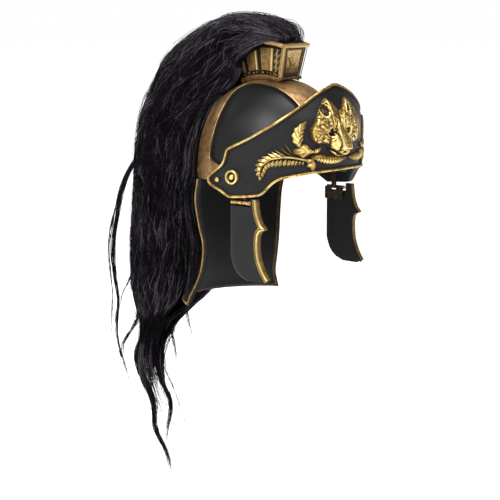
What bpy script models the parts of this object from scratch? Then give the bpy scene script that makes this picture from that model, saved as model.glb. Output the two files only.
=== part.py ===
"""Roman parade helmet of a one-sixth scale figure, with a hair plume.

Every length below is in millimetres and becomes metres when a mesh is made. +Z is up, the front
faces -Y, and the wearer's left is +X. The origin is the inner top of the bowl, where the helmet
sits on a head.
"""

import math

import bmesh
import bpy
import numpy as np

MM = 0.001

# Fits between pieces
seat_gap = 0.2
relief_step = 0.04
pin_clearance = 0.06

# Bowl
bowl_half_width = 16.6
bowl_half_length = 19.2
bowl_half_height = 20.3
bowl_wall = 1.0
bowl_skirt = 1.5
bowl_sides = 34
bowl_rows = 7

# Gold bands over the bowl
band_rise = 0.45
midline_half_width = 5.0
cross_front = 5.2
cross_width = 4.5
rim_band_height = 4.4
rim_band_fall = 0.3
rear_rim_height = 1.3
rim_tuck = 0.5
front_band_reach = 16.2
rim_band_reach = 9.0

# Brow plate
brow_wall = 0.8
brow_front_room = 0.3
brow_side_room = 0.9
brow_peak_rise = 1.0
brow_height = 25.1
brow_upright = 8.5
brow_peak_setback = 3.4
brow_peak_narrowing = 8.8
brow_squareness = 2.2
edging_width = 0.8
edging_rise = 0.4

# Relief on the brow plate
head_shift = -1.3
head_width = 16.0
head_height = 12.8
head_top_drop = 3.1
head_rise = 1.75
leaf_rise = 0.75
spray_span = 11.4
spray_height = 8.4
spray_gap = 0.7
spray_overlap = 3.5

# Ear boss and stud
boss_radius = 1.7
boss_rise = 0.75
boss_angle = 79.7
boss_drop = 20.3
stud_radius = 0.55
stud_rise = 0.5
stud_angle = 93.0
stud_drop = 21.2

# Cheek guards and their hinges
cheek_drop = 17.4
cheek_depth = 10.75
cheek_rear = 2.3
cheek_wall = 0.8
cheek_toe_in = 0.5
cheek_inset = 0.85
trim_width = 1.1
trim_rise = 0.45
hinge_drop = 0.9
knuckle_radius = 0.42
knuckle_start = 2.4
knuckle_span = 5.1
centre_knuckle = 1.2
knuckle_gap = 0.12
knuckle_sides = 8
pin_radius = 0.16
leaf_thickness = 0.4
leaf_inset = 0.85
guard_leaf_height = 1.9

# Neck guard
neck_wall = 1.0
neck_drop = 29.2
neck_edging_width = 0.75

# Crest box
crest_height = 8.4
crest_front_angle = -12.5
crest_back_angle = 17.5
crest_foot_half = 3.7
crest_top_half = 4.3
crest_lip = 0.45
crest_lip_height = 1.0
crest_foot_height = 0.9
crest_flute_depth = 0.55
crest_panels = 4
panel_frame = 0.8
panel_recess = 0.35
panel_rise = 0.5

# Plume
plume_half_width = 11.0
plume_depth = 20.0
plume_drop = 99.0
plume_clearance = 0.5
plume_ridge = 0.09
plume_row_step = 5.5
plume_arc_points = 15
plume_fullness = 4.0
lock_sides = 5
lock_rows = 8


# Surfaces that the pieces share

bowl_centre = bowl_wall - bowl_half_height
rim_z = bowl_centre - bowl_skirt
cross_back = cross_front + cross_width
rim_band_top = rim_z + rim_band_height


def unit(vector):
    return vector / np.linalg.norm(vector)


def lift_from_bowl(point, height):
    """The point moved out from the bowl's outer face along the face's normal."""
    halves = np.array([bowl_half_width, bowl_half_length, bowl_half_height])
    from_centre = point - np.array([0, 0, bowl_centre])
    return point + unit(from_centre / halves**2) * height


def bowl_at(x, y):
    """A point of the bowl's upper half, above this x and y."""
    share = 1 - (x / bowl_half_width) ** 2 - (y / bowl_half_length) ** 2
    return np.array([x, y, bowl_centre + bowl_half_height * math.sqrt(max(share, 0))])


def bowl_slice(x=None, y=None, drop=0.0, side=1):
    """The bowl's outer face where a plane at x or at y meets the level z = drop."""
    level = 1 - ((drop - bowl_centre) / bowl_half_height) ** 2
    if x is None:
        x = side * bowl_half_width * math.sqrt(max(level - (y / bowl_half_length) ** 2, 0))
    else:
        y = side * bowl_half_length * math.sqrt(max(level - (x / bowl_half_width) ** 2, 0))
    return np.array([x, y, drop])


spray_start = head_width / 2 + abs(head_shift) + spray_gap
spray_drop = head_top_drop + head_height - spray_overlap
brow_top = brow_peak_rise
brow_half_length = bowl_half_length + brow_front_room + brow_wall
brow_half_width = bowl_half_width + brow_side_room + brow_wall


def brow_halves(z):
    """Half length and half width of the brow plate's outer face at height z."""
    share = max(0.0, (z - brow_top + brow_upright) / brow_upright)
    length = brow_half_length - brow_peak_setback * share**1.6
    width = brow_half_width - brow_peak_narrowing * share**1.9
    return length, width


def brow_face(angle, z):
    """The outer face at an angle in degrees from the front, negative on the wearer's right."""
    turn = math.radians(angle)
    length, width = brow_halves(z)
    power = brow_squareness
    share = abs(math.sin(turn) / width) ** power + abs(math.cos(turn) / length) ** power
    radius = share ** (-1 / power)
    return np.array([radius * math.sin(turn), -radius * math.cos(turn), z])


def brow_normal(angle, z):
    step = 0.4
    around = brow_face(angle + step, z) - brow_face(angle - step, z)
    upward = brow_face(angle, z + step) - brow_face(angle, z - step)
    return unit(np.cross(around, upward))


def brow_point(angle, z, height=0.0):
    return brow_face(angle, z) + brow_normal(angle, z) * height


# Outlines, each as shares of the named sizes that it follows

# Brow plate: angle from the front in degrees, and the drop below the peak as a share of brow_height
BROW_UPPER = [(0, 0.0), (3, 0.006), (14.2, 0.052), (24, 0.11), (34.5, 0.191), (42.5, 0.252),
              (50.5, 0.319), (66.6, 0.446), (75.2, 0.502), (85.2, 0.562), (86.2, 0.622),
              (87.8, 0.685), (91.5, 0.725), (98.6, 0.785), (102.1, 0.825)]
BROW_LOWER = [(0, 0.757), (15.9, 0.761), (28.8, 0.773), (41.9, 0.803), (46.1, 0.817),
              (49.7, 0.843), (53.4, 0.892), (57.5, 0.952), (61, 0.974), (69.1, 0.985),
              (82.8, 1.0), (91, 0.944), (98.6, 0.912), (102.1, 0.884)]

# Cheek guard, downwards: drop as a share of cheek_drop, then the rear and front edges as shares
# of cheek_depth, measured forward from the rear edge
CHEEK_ROWS = [(-0.063, 0.54, 0.69), (0.03, 0.54, 0.71), (0.045, 0.0, 0.712), (0.115, 0.0, 0.73),
              (0.18, 0.0, 0.765), (0.253, 0.0, 0.82), (0.31, 0.0, 0.92), (0.335, 0.0, 0.80),
              (0.38, 0.0, 0.755), (0.45, 0.0, 0.735), (0.529, 0.0, 0.735), (0.61, 0.0, 0.745),
              (0.69, 0.0, 0.765), (0.77, 0.035, 0.81), (0.845, 0.085, 0.87),
              (0.91, 0.17, 0.935), (0.957, 0.27, 1.0), (1.0, 0.46, 0.87)]

# Neck guard, downwards: drop as a share of neck_drop, side edge across and back as shares of
# the bowl's half width and half length, and the middle of the back as a share of the half length
NECK_ROWS = [(0.0, 0.94, 0.468, 1.026), (0.06, 0.925, 0.505, 1.018), (0.17, 0.904, 0.547, 1.005),
             (0.375, 0.843, 0.531, 0.969), (0.535, 0.783, 0.50, 0.948), (0.70, 0.783, 0.526, 0.969),
             (0.80, 0.80, 0.56, 1.0), (0.905, 0.85, 0.62, 1.068), (1.0, 0.964, 0.64, 1.146)]

# Half of the animal head's outline from the notch between the ears round to the chin: across as
# a share of half head_width, and down as a share of head_height
HEAD_OUTLINE = [(0.0, 0.21), (0.11, 0.18), (0.25, 0.07), (0.40, 0.0), (0.52, 0.03), (0.61, 0.09),
                (0.71, 0.17), (0.75, 0.20), (0.83, 0.31), (0.85, 0.35), (0.93, 0.44), (0.99, 0.50),
                (1.0, 0.56), (0.97, 0.63), (0.90, 0.71), (0.75, 0.745), (0.59, 0.745), (0.47, 0.80),
                (0.43, 0.88), (0.33, 0.955), (0.19, 0.985), (0.0, 1.0)]

# Forms of the head: name, across and down as shares, half width and half height as shares of the
# same sizes, and rise as a share of head_rise; a negative rise is a hollow
HEAD_FORMS = [("cheek", 0.60, 0.50, 0.34, 0.22, 0.34), ("ruff", 0.80, 0.60, 0.20, 0.14, 0.16),
              ("ear", 0.46, 0.16, 0.28, 0.22, 0.42), ("ear hollow", 0.48, 0.19, 0.15, 0.13, -0.55),
              ("brow", 0.24, 0.42, 0.22, 0.15, 0.42), ("brow groove", 0.0, 0.34, 0.07, 0.20, -0.30),
              ("muzzle", 0.0, 0.74, 0.21, 0.34, 0.62), ("bridge", 0.0, 0.66, 0.10, 0.30, 0.20),
              ("eye", 0.36, 0.575, 0.15, 0.06, -0.40), ("nose", 0.0, 0.87, 0.15, 0.08, 0.30),
              ("side of the nose", 0.20, 0.84, 0.08, 0.07, -0.25), ("jaw", 0.32, 0.86, 0.22, 0.12, 0.16)]

# Spine of the leaf spray, outwards: across as a share of spray_span from its start, and down as a
# share of spray_height
SPRAY_SPINE = [(0.0, 0.54), (0.17, 0.49), (0.36, 0.42), (0.54, 0.38), (0.72, 0.43), (0.86, 0.52),
               (0.95, 0.69), (0.945, 0.87), (0.90, 1.0)]

# Single leaves: name, root and tip, each across and down as shares of the spray's span and
# height, half width as a share of spray_height, and bend as a share of the leaf's length
LEAVES = [("upright", 0.10, 0.10, 0.11, -0.66, 0.155, -0.20),
          ("broad", -0.14, 0.22, 0.26, 0.14, 0.165, 0.0),
          ("hanging", -0.06, 0.30, -0.08, 0.68, 0.12, 0.15)]

# Top of the plume, backwards: angle about the bowl's centre in degrees, thickness as a share of
# plume_depth, half width as a share of plume_half_width, and how far the hair hangs over the
# sides of the crest box as a share of crest_height
PLUME_TOP = [(-11.6, 0.02, 0.15, 0.0), (-10.2, 0.07, 0.28, 0.0), (-6.5, 0.13, 0.44, 0.05),
             (-1.0, 0.20, 0.56, 0.14), (4.0, 0.245, 0.60, 0.30), (8.5, 0.275, 0.61, 0.46),
             (13.0, 0.305, 0.62, 0.62), (19.2, 0.365, 0.63, 0.84)]

# Fall of the plume: drop of the inner side and of the outer side below the head seat as shares of
# plume_drop, room behind the helmet and thickness as shares of plume_depth, half width as a share
# of plume_half_width, shift across as a share of plume_depth, and how far the sides reach forward
# past the inner side as a share of crest_height
PLUME_FALL = [(-0.045, -0.106, 0.0, 0.80, 0.66, 0.0, 0.46), (-0.002, -0.05, 0.0, 1.17, 0.71, 0.0, 0.26),
              (0.022, -0.018, 0.0, 1.04, 0.74, 0.0, 0.26), (0.05, 0.02, 0.0, 1.0, 0.78, 0.0, 0.36),
              (0.10, 0.076, 0.0, 1.0, 0.85, 0.0, 0.33), (0.16, 0.14, 0.0, 0.98, 0.91, 0.0, 0.30),
              (0.22, 0.205, 0.0, 0.965, 0.94, 0.0, 0.24), (0.30, 0.30, 0.03, 0.925, 0.98, 0.0, 0.15),
              (0.385, 0.385, 0.05, 0.95, 1.0, 0.0, 0.10), (0.455, 0.46, 0.04, 0.925, 0.99, 0.0, 0.0),
              (0.505, 0.51, 0.06, 0.85, 0.90, 0.0, 0.0), (0.55, 0.565, 0.20, 0.65, 0.72, -0.02, 0.0),
              (0.59, 0.605, 0.45, 0.36, 0.46, -0.05, 0.0), (0.625, 0.63, 0.56, 0.25, 0.28, -0.09, 0.0),
              (0.69, 0.695, 0.61, 0.25, 0.24, -0.14, 0.0), (0.755, 0.76, 0.55, 0.25, 0.24, -0.15, 0.0),
              (0.80, 0.80, 0.45, 0.23, 0.22, -0.15, 0.0), (0.84, 0.84, 0.39, 0.20, 0.20, -0.14, 0.0),
              (0.885, 0.885, 0.37, 0.13, 0.14, -0.12, 0.0)]

# Inner side of a plume section that straddles the helmet, from its side to the middle: across
# between the clearance and the half width, level as a share of the thickness, and reach past the
# inner point as a share of the drape
PLUME_LEG = [(0.95, 0.24, 0.30), (0.78, 0.0, 0.85), (0.45, 0.0, 1.0), (0.05, 0.0, 0.75), (0.0, 0.0, 0.0)]

# Loose locks: drop of the root and of the tip as shares of plume_drop, place of each across and
# back as shares of plume_half_width and plume_depth, bow as a share of plume_depth, and radius
LOCKS = [("outer", 0.15, 0.80, -0.35, 0.88, -0.42, 1.13, 0.40, 1.0),
         ("side", 0.42, 0.71, -0.40, 0.75, -0.40, 1.22, 0.05, 1.1),
         ("back", 0.42, 0.74, 0.25, 0.70, 0.30, 0.85, 0.12, 1.3),
         ("left", 0.40, 0.68, 0.60, 0.50, 0.35, 0.65, 0.08, 1.4),
         ("tip_near", 0.80, 1.0, -0.28, 0.62, -0.15, 0.32, 0.06, 1.0),
         ("tip_far", 0.82, 0.97, -0.25, 0.58, -0.10, 0.60, -0.04, 1.0)]


# Making meshes and materials

def clear_scene():
    for thing in list(bpy.data.objects):
        bpy.data.objects.remove(thing, do_unlink=True)


def make_material(name, colour, roughness, metallic):
    material = bpy.data.materials.new(name)
    material.use_nodes = True
    shader = material.node_tree.nodes["Principled BSDF"]
    shader.inputs["Base Color"].default_value = (*colour, 1)
    shader.inputs["Roughness"].default_value = roughness
    shader.inputs["Metallic"].default_value = metallic
    material.diffuse_color = (*colour, 1)
    return material


def make_object(name, points, faces, material, smooth=35):
    """A mesh object from points in millimetres, with its faces turned outwards."""
    mesh = bpy.data.meshes.new(name)
    mesh.from_pydata([tuple(float(c) * MM for c in p) for p in points], [], faces)
    form = bmesh.new()
    form.from_mesh(mesh)
    bmesh.ops.recalc_face_normals(form, faces=form.faces)
    form.to_mesh(mesh)
    form.free()
    mesh.shade_smooth()
    mesh.set_sharp_from_angle(angle=math.radians(smooth))
    made = bpy.data.objects.new(name, mesh)
    mesh.materials.append(material)
    bpy.context.scene.collection.objects.link(made)
    return made


def ring_solid(name, rings, material, smooth=35):
    """A body from closed rings of points that run from pole to pole; a pole is one point."""
    points, faces, starts = [], [], []
    sides = max(len(ring) for ring in rings)
    for ring in rings:
        starts.append(len(points))
        points += ring
    for row in range(len(rings) - 1):
        for i in range(sides):
            after = (i + 1) % sides
            upper = [starts[row] + i, starts[row] + after]
            lower = [starts[row + 1] + after, starts[row + 1] + i]
            if len(rings[row]) == 1:
                upper = [starts[row]]
            if len(rings[row + 1]) == 1:
                lower = [starts[row + 1]]
            faces.append(upper + lower)
    return make_object(name, points, faces, material, smooth)


def sheet_solid(name, front, back, material):
    """A wall between two grids of points, rows by columns."""
    rows, columns = len(front), len(front[0])
    points = [p for row in front for p in row] + [p for row in back for p in row]
    offset = rows * columns
    faces = []
    for r in range(rows - 1):
        for c in range(columns - 1):
            quad = [r * columns + c, (r + 1) * columns + c, (r + 1) * columns + c + 1, r * columns + c + 1]
            faces.append(quad)
            faces.append([i + offset for i in reversed(quad)])
    border = [c for c in range(columns)]
    border += [r * columns + columns - 1 for r in range(1, rows)]
    border += [(rows - 1) * columns + c for c in range(columns - 2, -1, -1)]
    border += [r * columns for r in range(rows - 2, 0, -1)]
    for a, b in zip(border, border[1:] + border[:1]):
        faces.append([a, b, b + offset, a + offset])
    return make_object(name, points, faces, material)


def loft_solid(name, sections, material, loop=False, smooth=35):
    """A body through closed sections with the same number of points; a loop has no ends."""
    count = len(sections[0])
    points = [p for section in sections for p in section]
    faces = []
    spans = len(sections) if loop else len(sections) - 1
    for s in range(spans):
        here, there = s * count, ((s + 1) % len(sections)) * count
        for i in range(count):
            j = (i + 1) % count
            faces.append([here + i, here + j, there + j, there + i])
    if not loop:
        faces.append(list(range(count)))
        faces.append(list(range(len(points) - count, len(points)))[::-1])
    return make_object(name, points, faces, material, smooth)


def patch_solid(name, quads, low, high, material):
    """A raised skin over the bowl from quads of points on the bowl's outer face."""
    index, base, faces = {}, [], []
    for quad in quads:
        face = []
        for point in quad:
            key = tuple(round(float(c), 4) for c in point)
            if key not in index:
                index[key] = len(base)
                base.append(point)
            face.append(index[key])
        faces.append(face)
    count = len(base)
    points = [lift_from_bowl(p, high) for p in base] + [lift_from_bowl(p, low) for p in base]
    edges = {}
    for face in faces:
        for a, b in zip(face, face[1:] + face[:1]):
            edges.setdefault(frozenset((a, b)), []).append((a, b))
    solid = faces + [[i + count for i in reversed(face)] for face in faces]
    for uses in edges.values():
        if len(uses) == 1:
            a, b = uses[0]
            solid.append([b, a, a + count, b + count])
    return make_object(name, points, solid, material)


def combine(base, others, operation):
    """Adds a Boolean to the base for each other object, which becomes a hidden guide."""
    for other in others:
        modifier = base.modifiers.new(operation.title(), "BOOLEAN")
        modifier.operation = operation
        modifier.solver = "EXACT"
        modifier.object = other
        other.hide_render = True
        other.display_type = "WIRE"
    return base


def cylinder(name, radius, start, end, x, z, sides, material):
    """A cylinder along Y between two y values."""
    sections = []
    for y in (start, end):
        turns = [2 * math.pi * (i + 0.5) / sides for i in range(sides)]
        sections.append([(x + radius * math.cos(t), y, z + radius * math.sin(t)) for t in turns])
    return loft_solid(name, sections, material)


def block(name, low, high, material):
    """A plain block between two corners."""
    corners = [(0, 0), (1, 0), (1, 1), (0, 1)]
    sections = []
    for z in (low[2], high[2]):
        sections.append([((low[0], high[0])[i], (low[1], high[1])[j], z) for i, j in corners])
    return loft_solid(name, sections, material)


def edge_strip(path, normals, width, rise, loop):
    """Sections of a rounded strip that lies inside an edge; its inner side is to the path's left."""
    sections = []
    count = len(path)
    profile = [(0.0, 0.0), (0.0, 0.65), (0.5, 1.0), (1.0, 0.65), (1.0, 0.0)]
    for i in range(count):
        before = path[i - 1] if loop or i > 0 else None
        after = path[(i + 1) % count] if loop or i < count - 1 else None
        ways = []
        if before is not None:
            ways.append(unit(path[i] - before))
        if after is not None:
            ways.append(unit(after - path[i]))
        sides = [unit(np.cross(normals[i], way)) for way in ways]
        inward = sides[0] if len(sides) == 1 else (sides[0] + sides[1]) / max(1 + sides[0] @ sides[1], 0.5)
        sections.append([path[i] + inward * (w * width) + normals[i] * (seat_gap + h * rise)
                         for w, h in profile])
    return sections


# Pieces

def bowl_rim(angle):
    """Height of the bowl's rim at an angle from the front; in front it stays behind the plate."""
    reach = BROW_LOWER[-1][0]
    away = abs((angle + 180) % 360 - 180)
    if away > reach:
        return rim_z
    return max(rim_z, brow_edge(BROW_LOWER, away) + rim_tuck)


def make_bowl(material):
    rings = []
    for wall, shares in ((0.0, range(bowl_rows + 1)), (bowl_wall, range(bowl_rows, -1, -1))):
        halves = [half - wall for half in (bowl_half_width, bowl_half_length, bowl_half_height)]
        for row in shares:
            if row == 0:
                rings.append([(0, 0, bowl_centre + halves[2])])
                continue
            ring = []
            for i in range(bowl_sides):
                around = 2 * math.pi * i / bowl_sides
                way = np.array([halves[0] * math.cos(around), halves[1] * math.sin(around)])
                rim = bowl_rim(math.degrees(math.atan2(way[0], -way[1])))
                turn = math.acos((rim - bowl_centre) / halves[2]) * row / bowl_rows
                ring.append((*(way * math.sin(turn)), bowl_centre + halves[2] * math.cos(turn)))
            rings.append(ring)
    return ring_solid("bowl", rings, material)


def grid_quads(grid):
    quads = []
    for r in range(len(grid) - 1):
        for c in range(len(grid[0]) - 1):
            quads.append([grid[r][c], grid[r + 1][c], grid[r + 1][c + 1], grid[r][c + 1]])
    return quads


def rim_levels(y):
    """Heights of the rim band's rows; its top falls towards the front."""
    top = rim_band_top - rim_band_fall * max(0.0, cross_front - y)
    return [top, rim_z + rear_rim_height, rim_z]


def make_crown_bands(material):
    columns = np.linspace(-midline_half_width, midline_half_width, 5)
    front_rows = np.linspace(-front_band_reach, cross_front, 9)
    cross_rows = [cross_front, (cross_front + cross_back) / 2, cross_back]
    quads = grid_quads([[bowl_at(x, y) for x in columns] for y in front_rows])
    quads += grid_quads([[bowl_at(x, y) for x in columns] for y in cross_rows])
    levels = rim_levels(cross_back)
    back = []
    for x in columns:
        half = math.sqrt(1 - (x / bowl_half_width) ** 2)
        start = math.asin(cross_back / (bowl_half_length * half))
        end = math.acos((levels[0] - bowl_centre) / (bowl_half_height * half))
        strip = [bowl_at(x, bowl_half_length * half * math.sin(t)) for t in np.linspace(start, end, 7)]
        strip[0] = bowl_at(x, cross_back)
        strip[-1] = bowl_slice(x=x, drop=levels[0])
        back.append(strip + [bowl_slice(x=x, drop=level) for level in levels[1:]])
    quads += grid_quads(back)
    for side in (-1, 1):
        arms = []
        for y in cross_rows:
            half = math.sqrt(1 - (y / bowl_half_length) ** 2)
            start = math.asin(midline_half_width / (bowl_half_width * half))
            end = math.acos((levels[0] - bowl_centre) / (bowl_half_height * half))
            turns = np.linspace(start, end, 9)
            strip = [bowl_at(side * bowl_half_width * half * math.sin(t), y) for t in turns]
            strip[0] = bowl_at(side * midline_half_width, y)
            arms.append(strip[:-1] + [bowl_slice(y=y, drop=level, side=side) for level in levels])
        quads += grid_quads(arms)
        front = np.linspace(cross_front, cross_front - rim_band_reach, 5)
        quads += grid_quads([[bowl_slice(y=y, drop=level, side=side) for level in rim_levels(y)]
                             for y in front])
        rear = []
        for level in levels[1:]:
            first = bowl_slice(y=cross_back, drop=level, side=side)
            last = bowl_slice(x=side * midline_half_width, drop=level)
            spread = math.sqrt(1 - ((level - bowl_centre) / bowl_half_height) ** 2)
            halves = (bowl_half_width * spread, bowl_half_length * spread)
            turns = [math.atan2(p[1] / halves[1], p[0] / halves[0]) for p in (first, last)]
            row = [np.array([halves[0] * math.cos(t), halves[1] * math.sin(t), level])
                   for t in np.linspace(*turns, 5)]
            row[0], row[-1] = first, last
            rear.append(row)
        quads += grid_quads(rear)
    return patch_solid("crown_bands", quads, seat_gap, seat_gap + band_rise, material)


def brow_edge(table, angle):
    shares = np.interp(abs(angle), [row[0] for row in table], [row[1] for row in table])
    return brow_top - brow_height * float(shares)


def brow_angles(spacing=8.0):
    """Angles of the plate's columns: every corner of the two outlines, and steps between."""
    knots = sorted({float(row[0]) for row in BROW_UPPER + BROW_LOWER})
    angles = []
    for low, high in zip(knots, knots[1:]):
        steps = max(1, math.ceil((high - low) / spacing))
        angles += [low + (high - low) * i / steps for i in range(steps)]
    angles.append(knots[-1])
    return [-a for a in reversed(angles[1:])] + angles


def make_brow_plate(material):
    front, back = [], []
    for share in np.linspace(0, 1, 5):
        rows = [], []
        for angle in brow_angles():
            low, high = brow_edge(BROW_LOWER, angle), brow_edge(BROW_UPPER, angle)
            z = low + (high - low) * share
            rows[0].append(brow_point(angle, z))
            rows[1].append(brow_point(angle, z, -brow_wall))
        front.append(rows[0])
        back.append(rows[1])
    return sheet_solid("brow_plate", front, back, material)


def make_brow_edging(material):
    angles = brow_angles(12.0)
    route = [(a, brow_edge(BROW_UPPER, a)) for a in reversed(angles)]
    route += [(a, brow_edge(BROW_LOWER, a)) for a in angles]
    path = [brow_point(a, z) for a, z in route]
    normals = [brow_normal(a, z) for a, z in route]
    sections = edge_strip(path, normals, edging_width, edging_rise, True)
    return loft_solid("brow_edging", sections, material, True)


def relief_point(across, drop, height):
    """A point over the brow plate: across in millimetres along the face, drop below the peak."""
    z = brow_top - drop
    return brow_point(math.degrees(across / (brow_half_length - brow_wall)), z, height)


def head_height_at(across, down):
    """Rise of the head's face as a share of head_rise, at shares of its width and height."""
    rise = 0.28
    for _, form_x, form_y, half_x, half_y, height in HEAD_FORMS:
        reach = ((abs(across) - form_x) / half_x) ** 2 + ((down - form_y) / half_y) ** 2
        rise += height * max(0.0, 1 - reach) ** 0.7
    return rise


def head_outline():
    """The head's closed outline in millimetres."""
    half = [(x * head_width / 2, y * head_height) for x, y in HEAD_OUTLINE]
    return half + [(-x, y) for x, y in reversed(half[1:-1])]


def head_ring(share, centre, rise_share):
    """Points of one ring of the head between its centre and its outline."""
    ring = []
    for x, y in head_outline():
        across, down = x * share, centre + (y - centre) * share
        rise = rise_share * head_rise * head_height_at(2 * across / head_width, down / head_height)
        ring.append(relief_point(head_shift + across, head_top_drop + down, seat_gap + rise))
    return ring


def make_wolf_head(material):
    centre = 0.53 * head_height
    middle = head_rise * head_height_at(0, centre / head_height)
    rings = [[relief_point(head_shift, head_top_drop + centre, seat_gap + middle)]]
    rings += [head_ring(share, centre, 1.0) for share in (0.15, 0.3, 0.43, 0.56, 0.69, 0.81, 0.93)]
    rings += [head_ring(1.0, centre, 0.7), head_ring(1.0, centre, 0.0), head_ring(0.6, centre, 0.0)]
    rings.append([relief_point(head_shift, head_top_drop + centre, seat_gap)])
    return ring_solid("wolf_head", rings, material, 50)


def strip_relief(name, rows, lift, side, material):
    """A relief from rows across it, each a list of (across, drop, rise)."""
    front, back = [], []
    for row in rows:
        front.append([relief_point(side * x, y, seat_gap + lift + rise) for x, y, rise in row])
        back.append([relief_point(side * x, y, seat_gap + lift) for x, y, _ in row])
    return sheet_solid(name, front, back, material)


def spray_place(across, down):
    return spray_start + across * spray_span, spray_drop + down * spray_height


def curve_between(a, b, c, d, t):
    """A point of the smooth curve between b and c, at the share t of the way."""
    return 0.5 * (2 * b + (c - a) * t + (2 * a - 5 * b + 4 * c - d) * t**2
                  + (3 * b - a - 3 * c + d) * t**3)


def smooth_route(knots, count):
    """Points spread evenly along a smooth curve through the knots."""
    knots = np.array(knots, float)
    ends = np.vstack([2 * knots[0] - knots[1], knots, 2 * knots[-1] - knots[-2]])
    curve = []
    for i in range(1, len(ends) - 2):
        for t in np.linspace(0, 1, 12, endpoint=False):
            curve.append(curve_between(*ends[i - 1:i + 3], t))
    curve.append(knots[-1])
    curve = np.array(curve)
    lengths = np.concatenate([[0], np.cumsum(np.linalg.norm(np.diff(curve, axis=0), axis=1))])
    marks = np.linspace(0, lengths[-1], count)
    return np.stack([np.interp(marks, lengths, curve[:, k]) for k in range(curve.shape[1])], axis=1)


def feather_rows():
    """Rows across the curled spray: saw-toothed feathers on both sides of a raised spine."""
    feathers = 8
    spine = smooth_route([spray_place(*knot) for knot in SPRAY_SPINE], 2 * feathers + 1)
    rows = []
    for i, (x, y) in enumerate(spine):
        before, after = spine[max(i - 1, 0)], spine[min(i + 1, len(spine) - 1)]
        way = unit(after - before)
        out = np.array([way[1], -way[0]])
        share = i / (len(spine) - 1)
        reach = spray_height * (0.17 + 0.08 * math.sin(math.pi * share)) * (1 - 0.75 * share**4)
        tooth = 1.0 if i % 2 else 0.5
        lead = way * (0.35 if i % 2 else 0.0)
        row = []
        for across, rise in ((1.0, 0.25), (0.5, 0.75), (0.0, 1.0), (-0.45, 0.7), (-0.85, 0.25)):
            edge = tooth if abs(across) > 0.6 else 1.0
            place = np.array([x, y]) + out * (across * edge * reach) + lead * abs(across)
            height = leaf_rise * rise * (1.0 if i % 2 or across == 0 else 0.6)
            row.append((place[0], place[1], height * (1 - 0.3 * share)))
        rows.append(row)
    return rows


def leaf_rows(root_x, root_y, tip_x, tip_y, half_width, bend):
    """Rows across one lobed leaf, from its root to its tip."""
    root, tip = np.array(spray_place(root_x, root_y)), np.array(spray_place(tip_x, tip_y))
    length = np.linalg.norm(tip - root)
    way = unit(tip - root)
    out = np.array([way[1], -way[0]])
    rows = []
    widths = [0.35, 0.8, 0.62, 1.0, 0.68, 0.7, 0.12]
    for i, width in enumerate(widths):
        share = i / (len(widths) - 1)
        middle = root + (tip - root) * share + out * (bend * length * math.sin(math.pi * share))
        reach = half_width * spray_height * width
        rows.append([(*(middle + out * (reach * a)), leaf_rise * rise)
                     for a, rise in ((1.0, 0.35), (0.0, 1.1), (-1.0, 0.35))])
    return rows


def vine_rows():
    """Rows across the leafy base line that runs in from the spray to the head."""
    rows = []
    steps = 10
    inner = 1.2
    for i in range(steps + 1):
        share = i / steps
        x = spray_start + 0.6 + (inner - spray_start - 0.6) * share
        y = spray_drop + spray_height * (0.50 + 0.06 * math.sin(3 * math.pi * share))
        reach = spray_height * (0.115 if i % 2 else 0.06)
        rows.append([(x, y - reach, leaf_rise * 0.35), (x, y - 0.3 * reach, leaf_rise * 0.9),
                     (x, y + reach, leaf_rise * 0.35)])
    return rows


def make_leaf_spray(side, material):
    label = "right" if side < 0 else "left"
    spray = strip_relief(f"leaf_spray_{label}", feather_rows(), 0.0, side, material)
    others = [strip_relief(f"vine_{label}", vine_rows(), relief_step, side, material)]
    for i, (name, *shape) in enumerate(LEAVES):
        lift = (i + 2) * relief_step
        others.append(strip_relief(f"{name}_leaf_{label}", leaf_rows(*shape), lift, side, material))
    return combine(spray, others, "UNION")


def turned_on_brow(name, profile, sides, angle, drop, side, material):
    """A turned ornament on the plate from (radius, height) pairs, from its back to its front."""
    z = brow_top - drop
    centre = brow_point(side * angle, z)
    normal = brow_normal(side * angle, z)
    upward = unit(np.array([0, 0, 1.0]) - normal * normal[2])
    across = np.cross(upward, normal)
    points, faces = [], []
    for radius, height in profile:
        for i in range(sides):
            turn = 2 * math.pi * i / sides
            around = across * math.cos(turn) + upward * math.sin(turn)
            points.append(centre + around * radius + normal * (seat_gap + height))
    for row in range(len(profile) - 1):
        for i in range(sides):
            j = (i + 1) % sides
            faces.append([row * sides + i, row * sides + j, (row + 1) * sides + j, (row + 1) * sides + i])
    faces.append(list(range(sides)))
    faces.append(list(range((len(profile) - 1) * sides, len(profile) * sides))[::-1])
    return make_object(name, points, faces, material, 50)


def make_boss(side, material):
    r, h = boss_radius, boss_rise
    profile = [(r, 0), (r, 0.55 * h), (0.86 * r, h), (0.68 * r, 0.95 * h), (0.58 * r, 0.45 * h),
               (0.36 * r, 0.4 * h), (0.3 * r, 0.85 * h), (0.12 * r, 1.1 * h)]
    label = "right" if side < 0 else "left"
    return turned_on_brow(f"ear_boss_{label}", profile, 10, boss_angle, boss_drop, side, material)


def make_stud(side, material):
    r, h = stud_radius, stud_rise
    profile = [(r, 0), (0.95 * r, 0.5 * h), (0.6 * r, 0.9 * h), (0.2 * r, h)]
    label = "right" if side < 0 else "left"
    return turned_on_brow(f"ear_stud_{label}", profile, 8, stud_angle, stud_drop, side, material)


hinge_x = brow_half_width - cheek_inset
hinge_z = brow_top - brow_height - hinge_drop


def cheek_point(drop_share, along, side, height=0.0):
    """A point of the guard's middle surface: drop, and share of the depth from the rear edge."""
    x = hinge_x - cheek_toe_in * (along**2 - 0.18) + height
    return np.array([side * x, -cheek_rear - along * cheek_depth, hinge_z - drop_share * cheek_drop])


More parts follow.
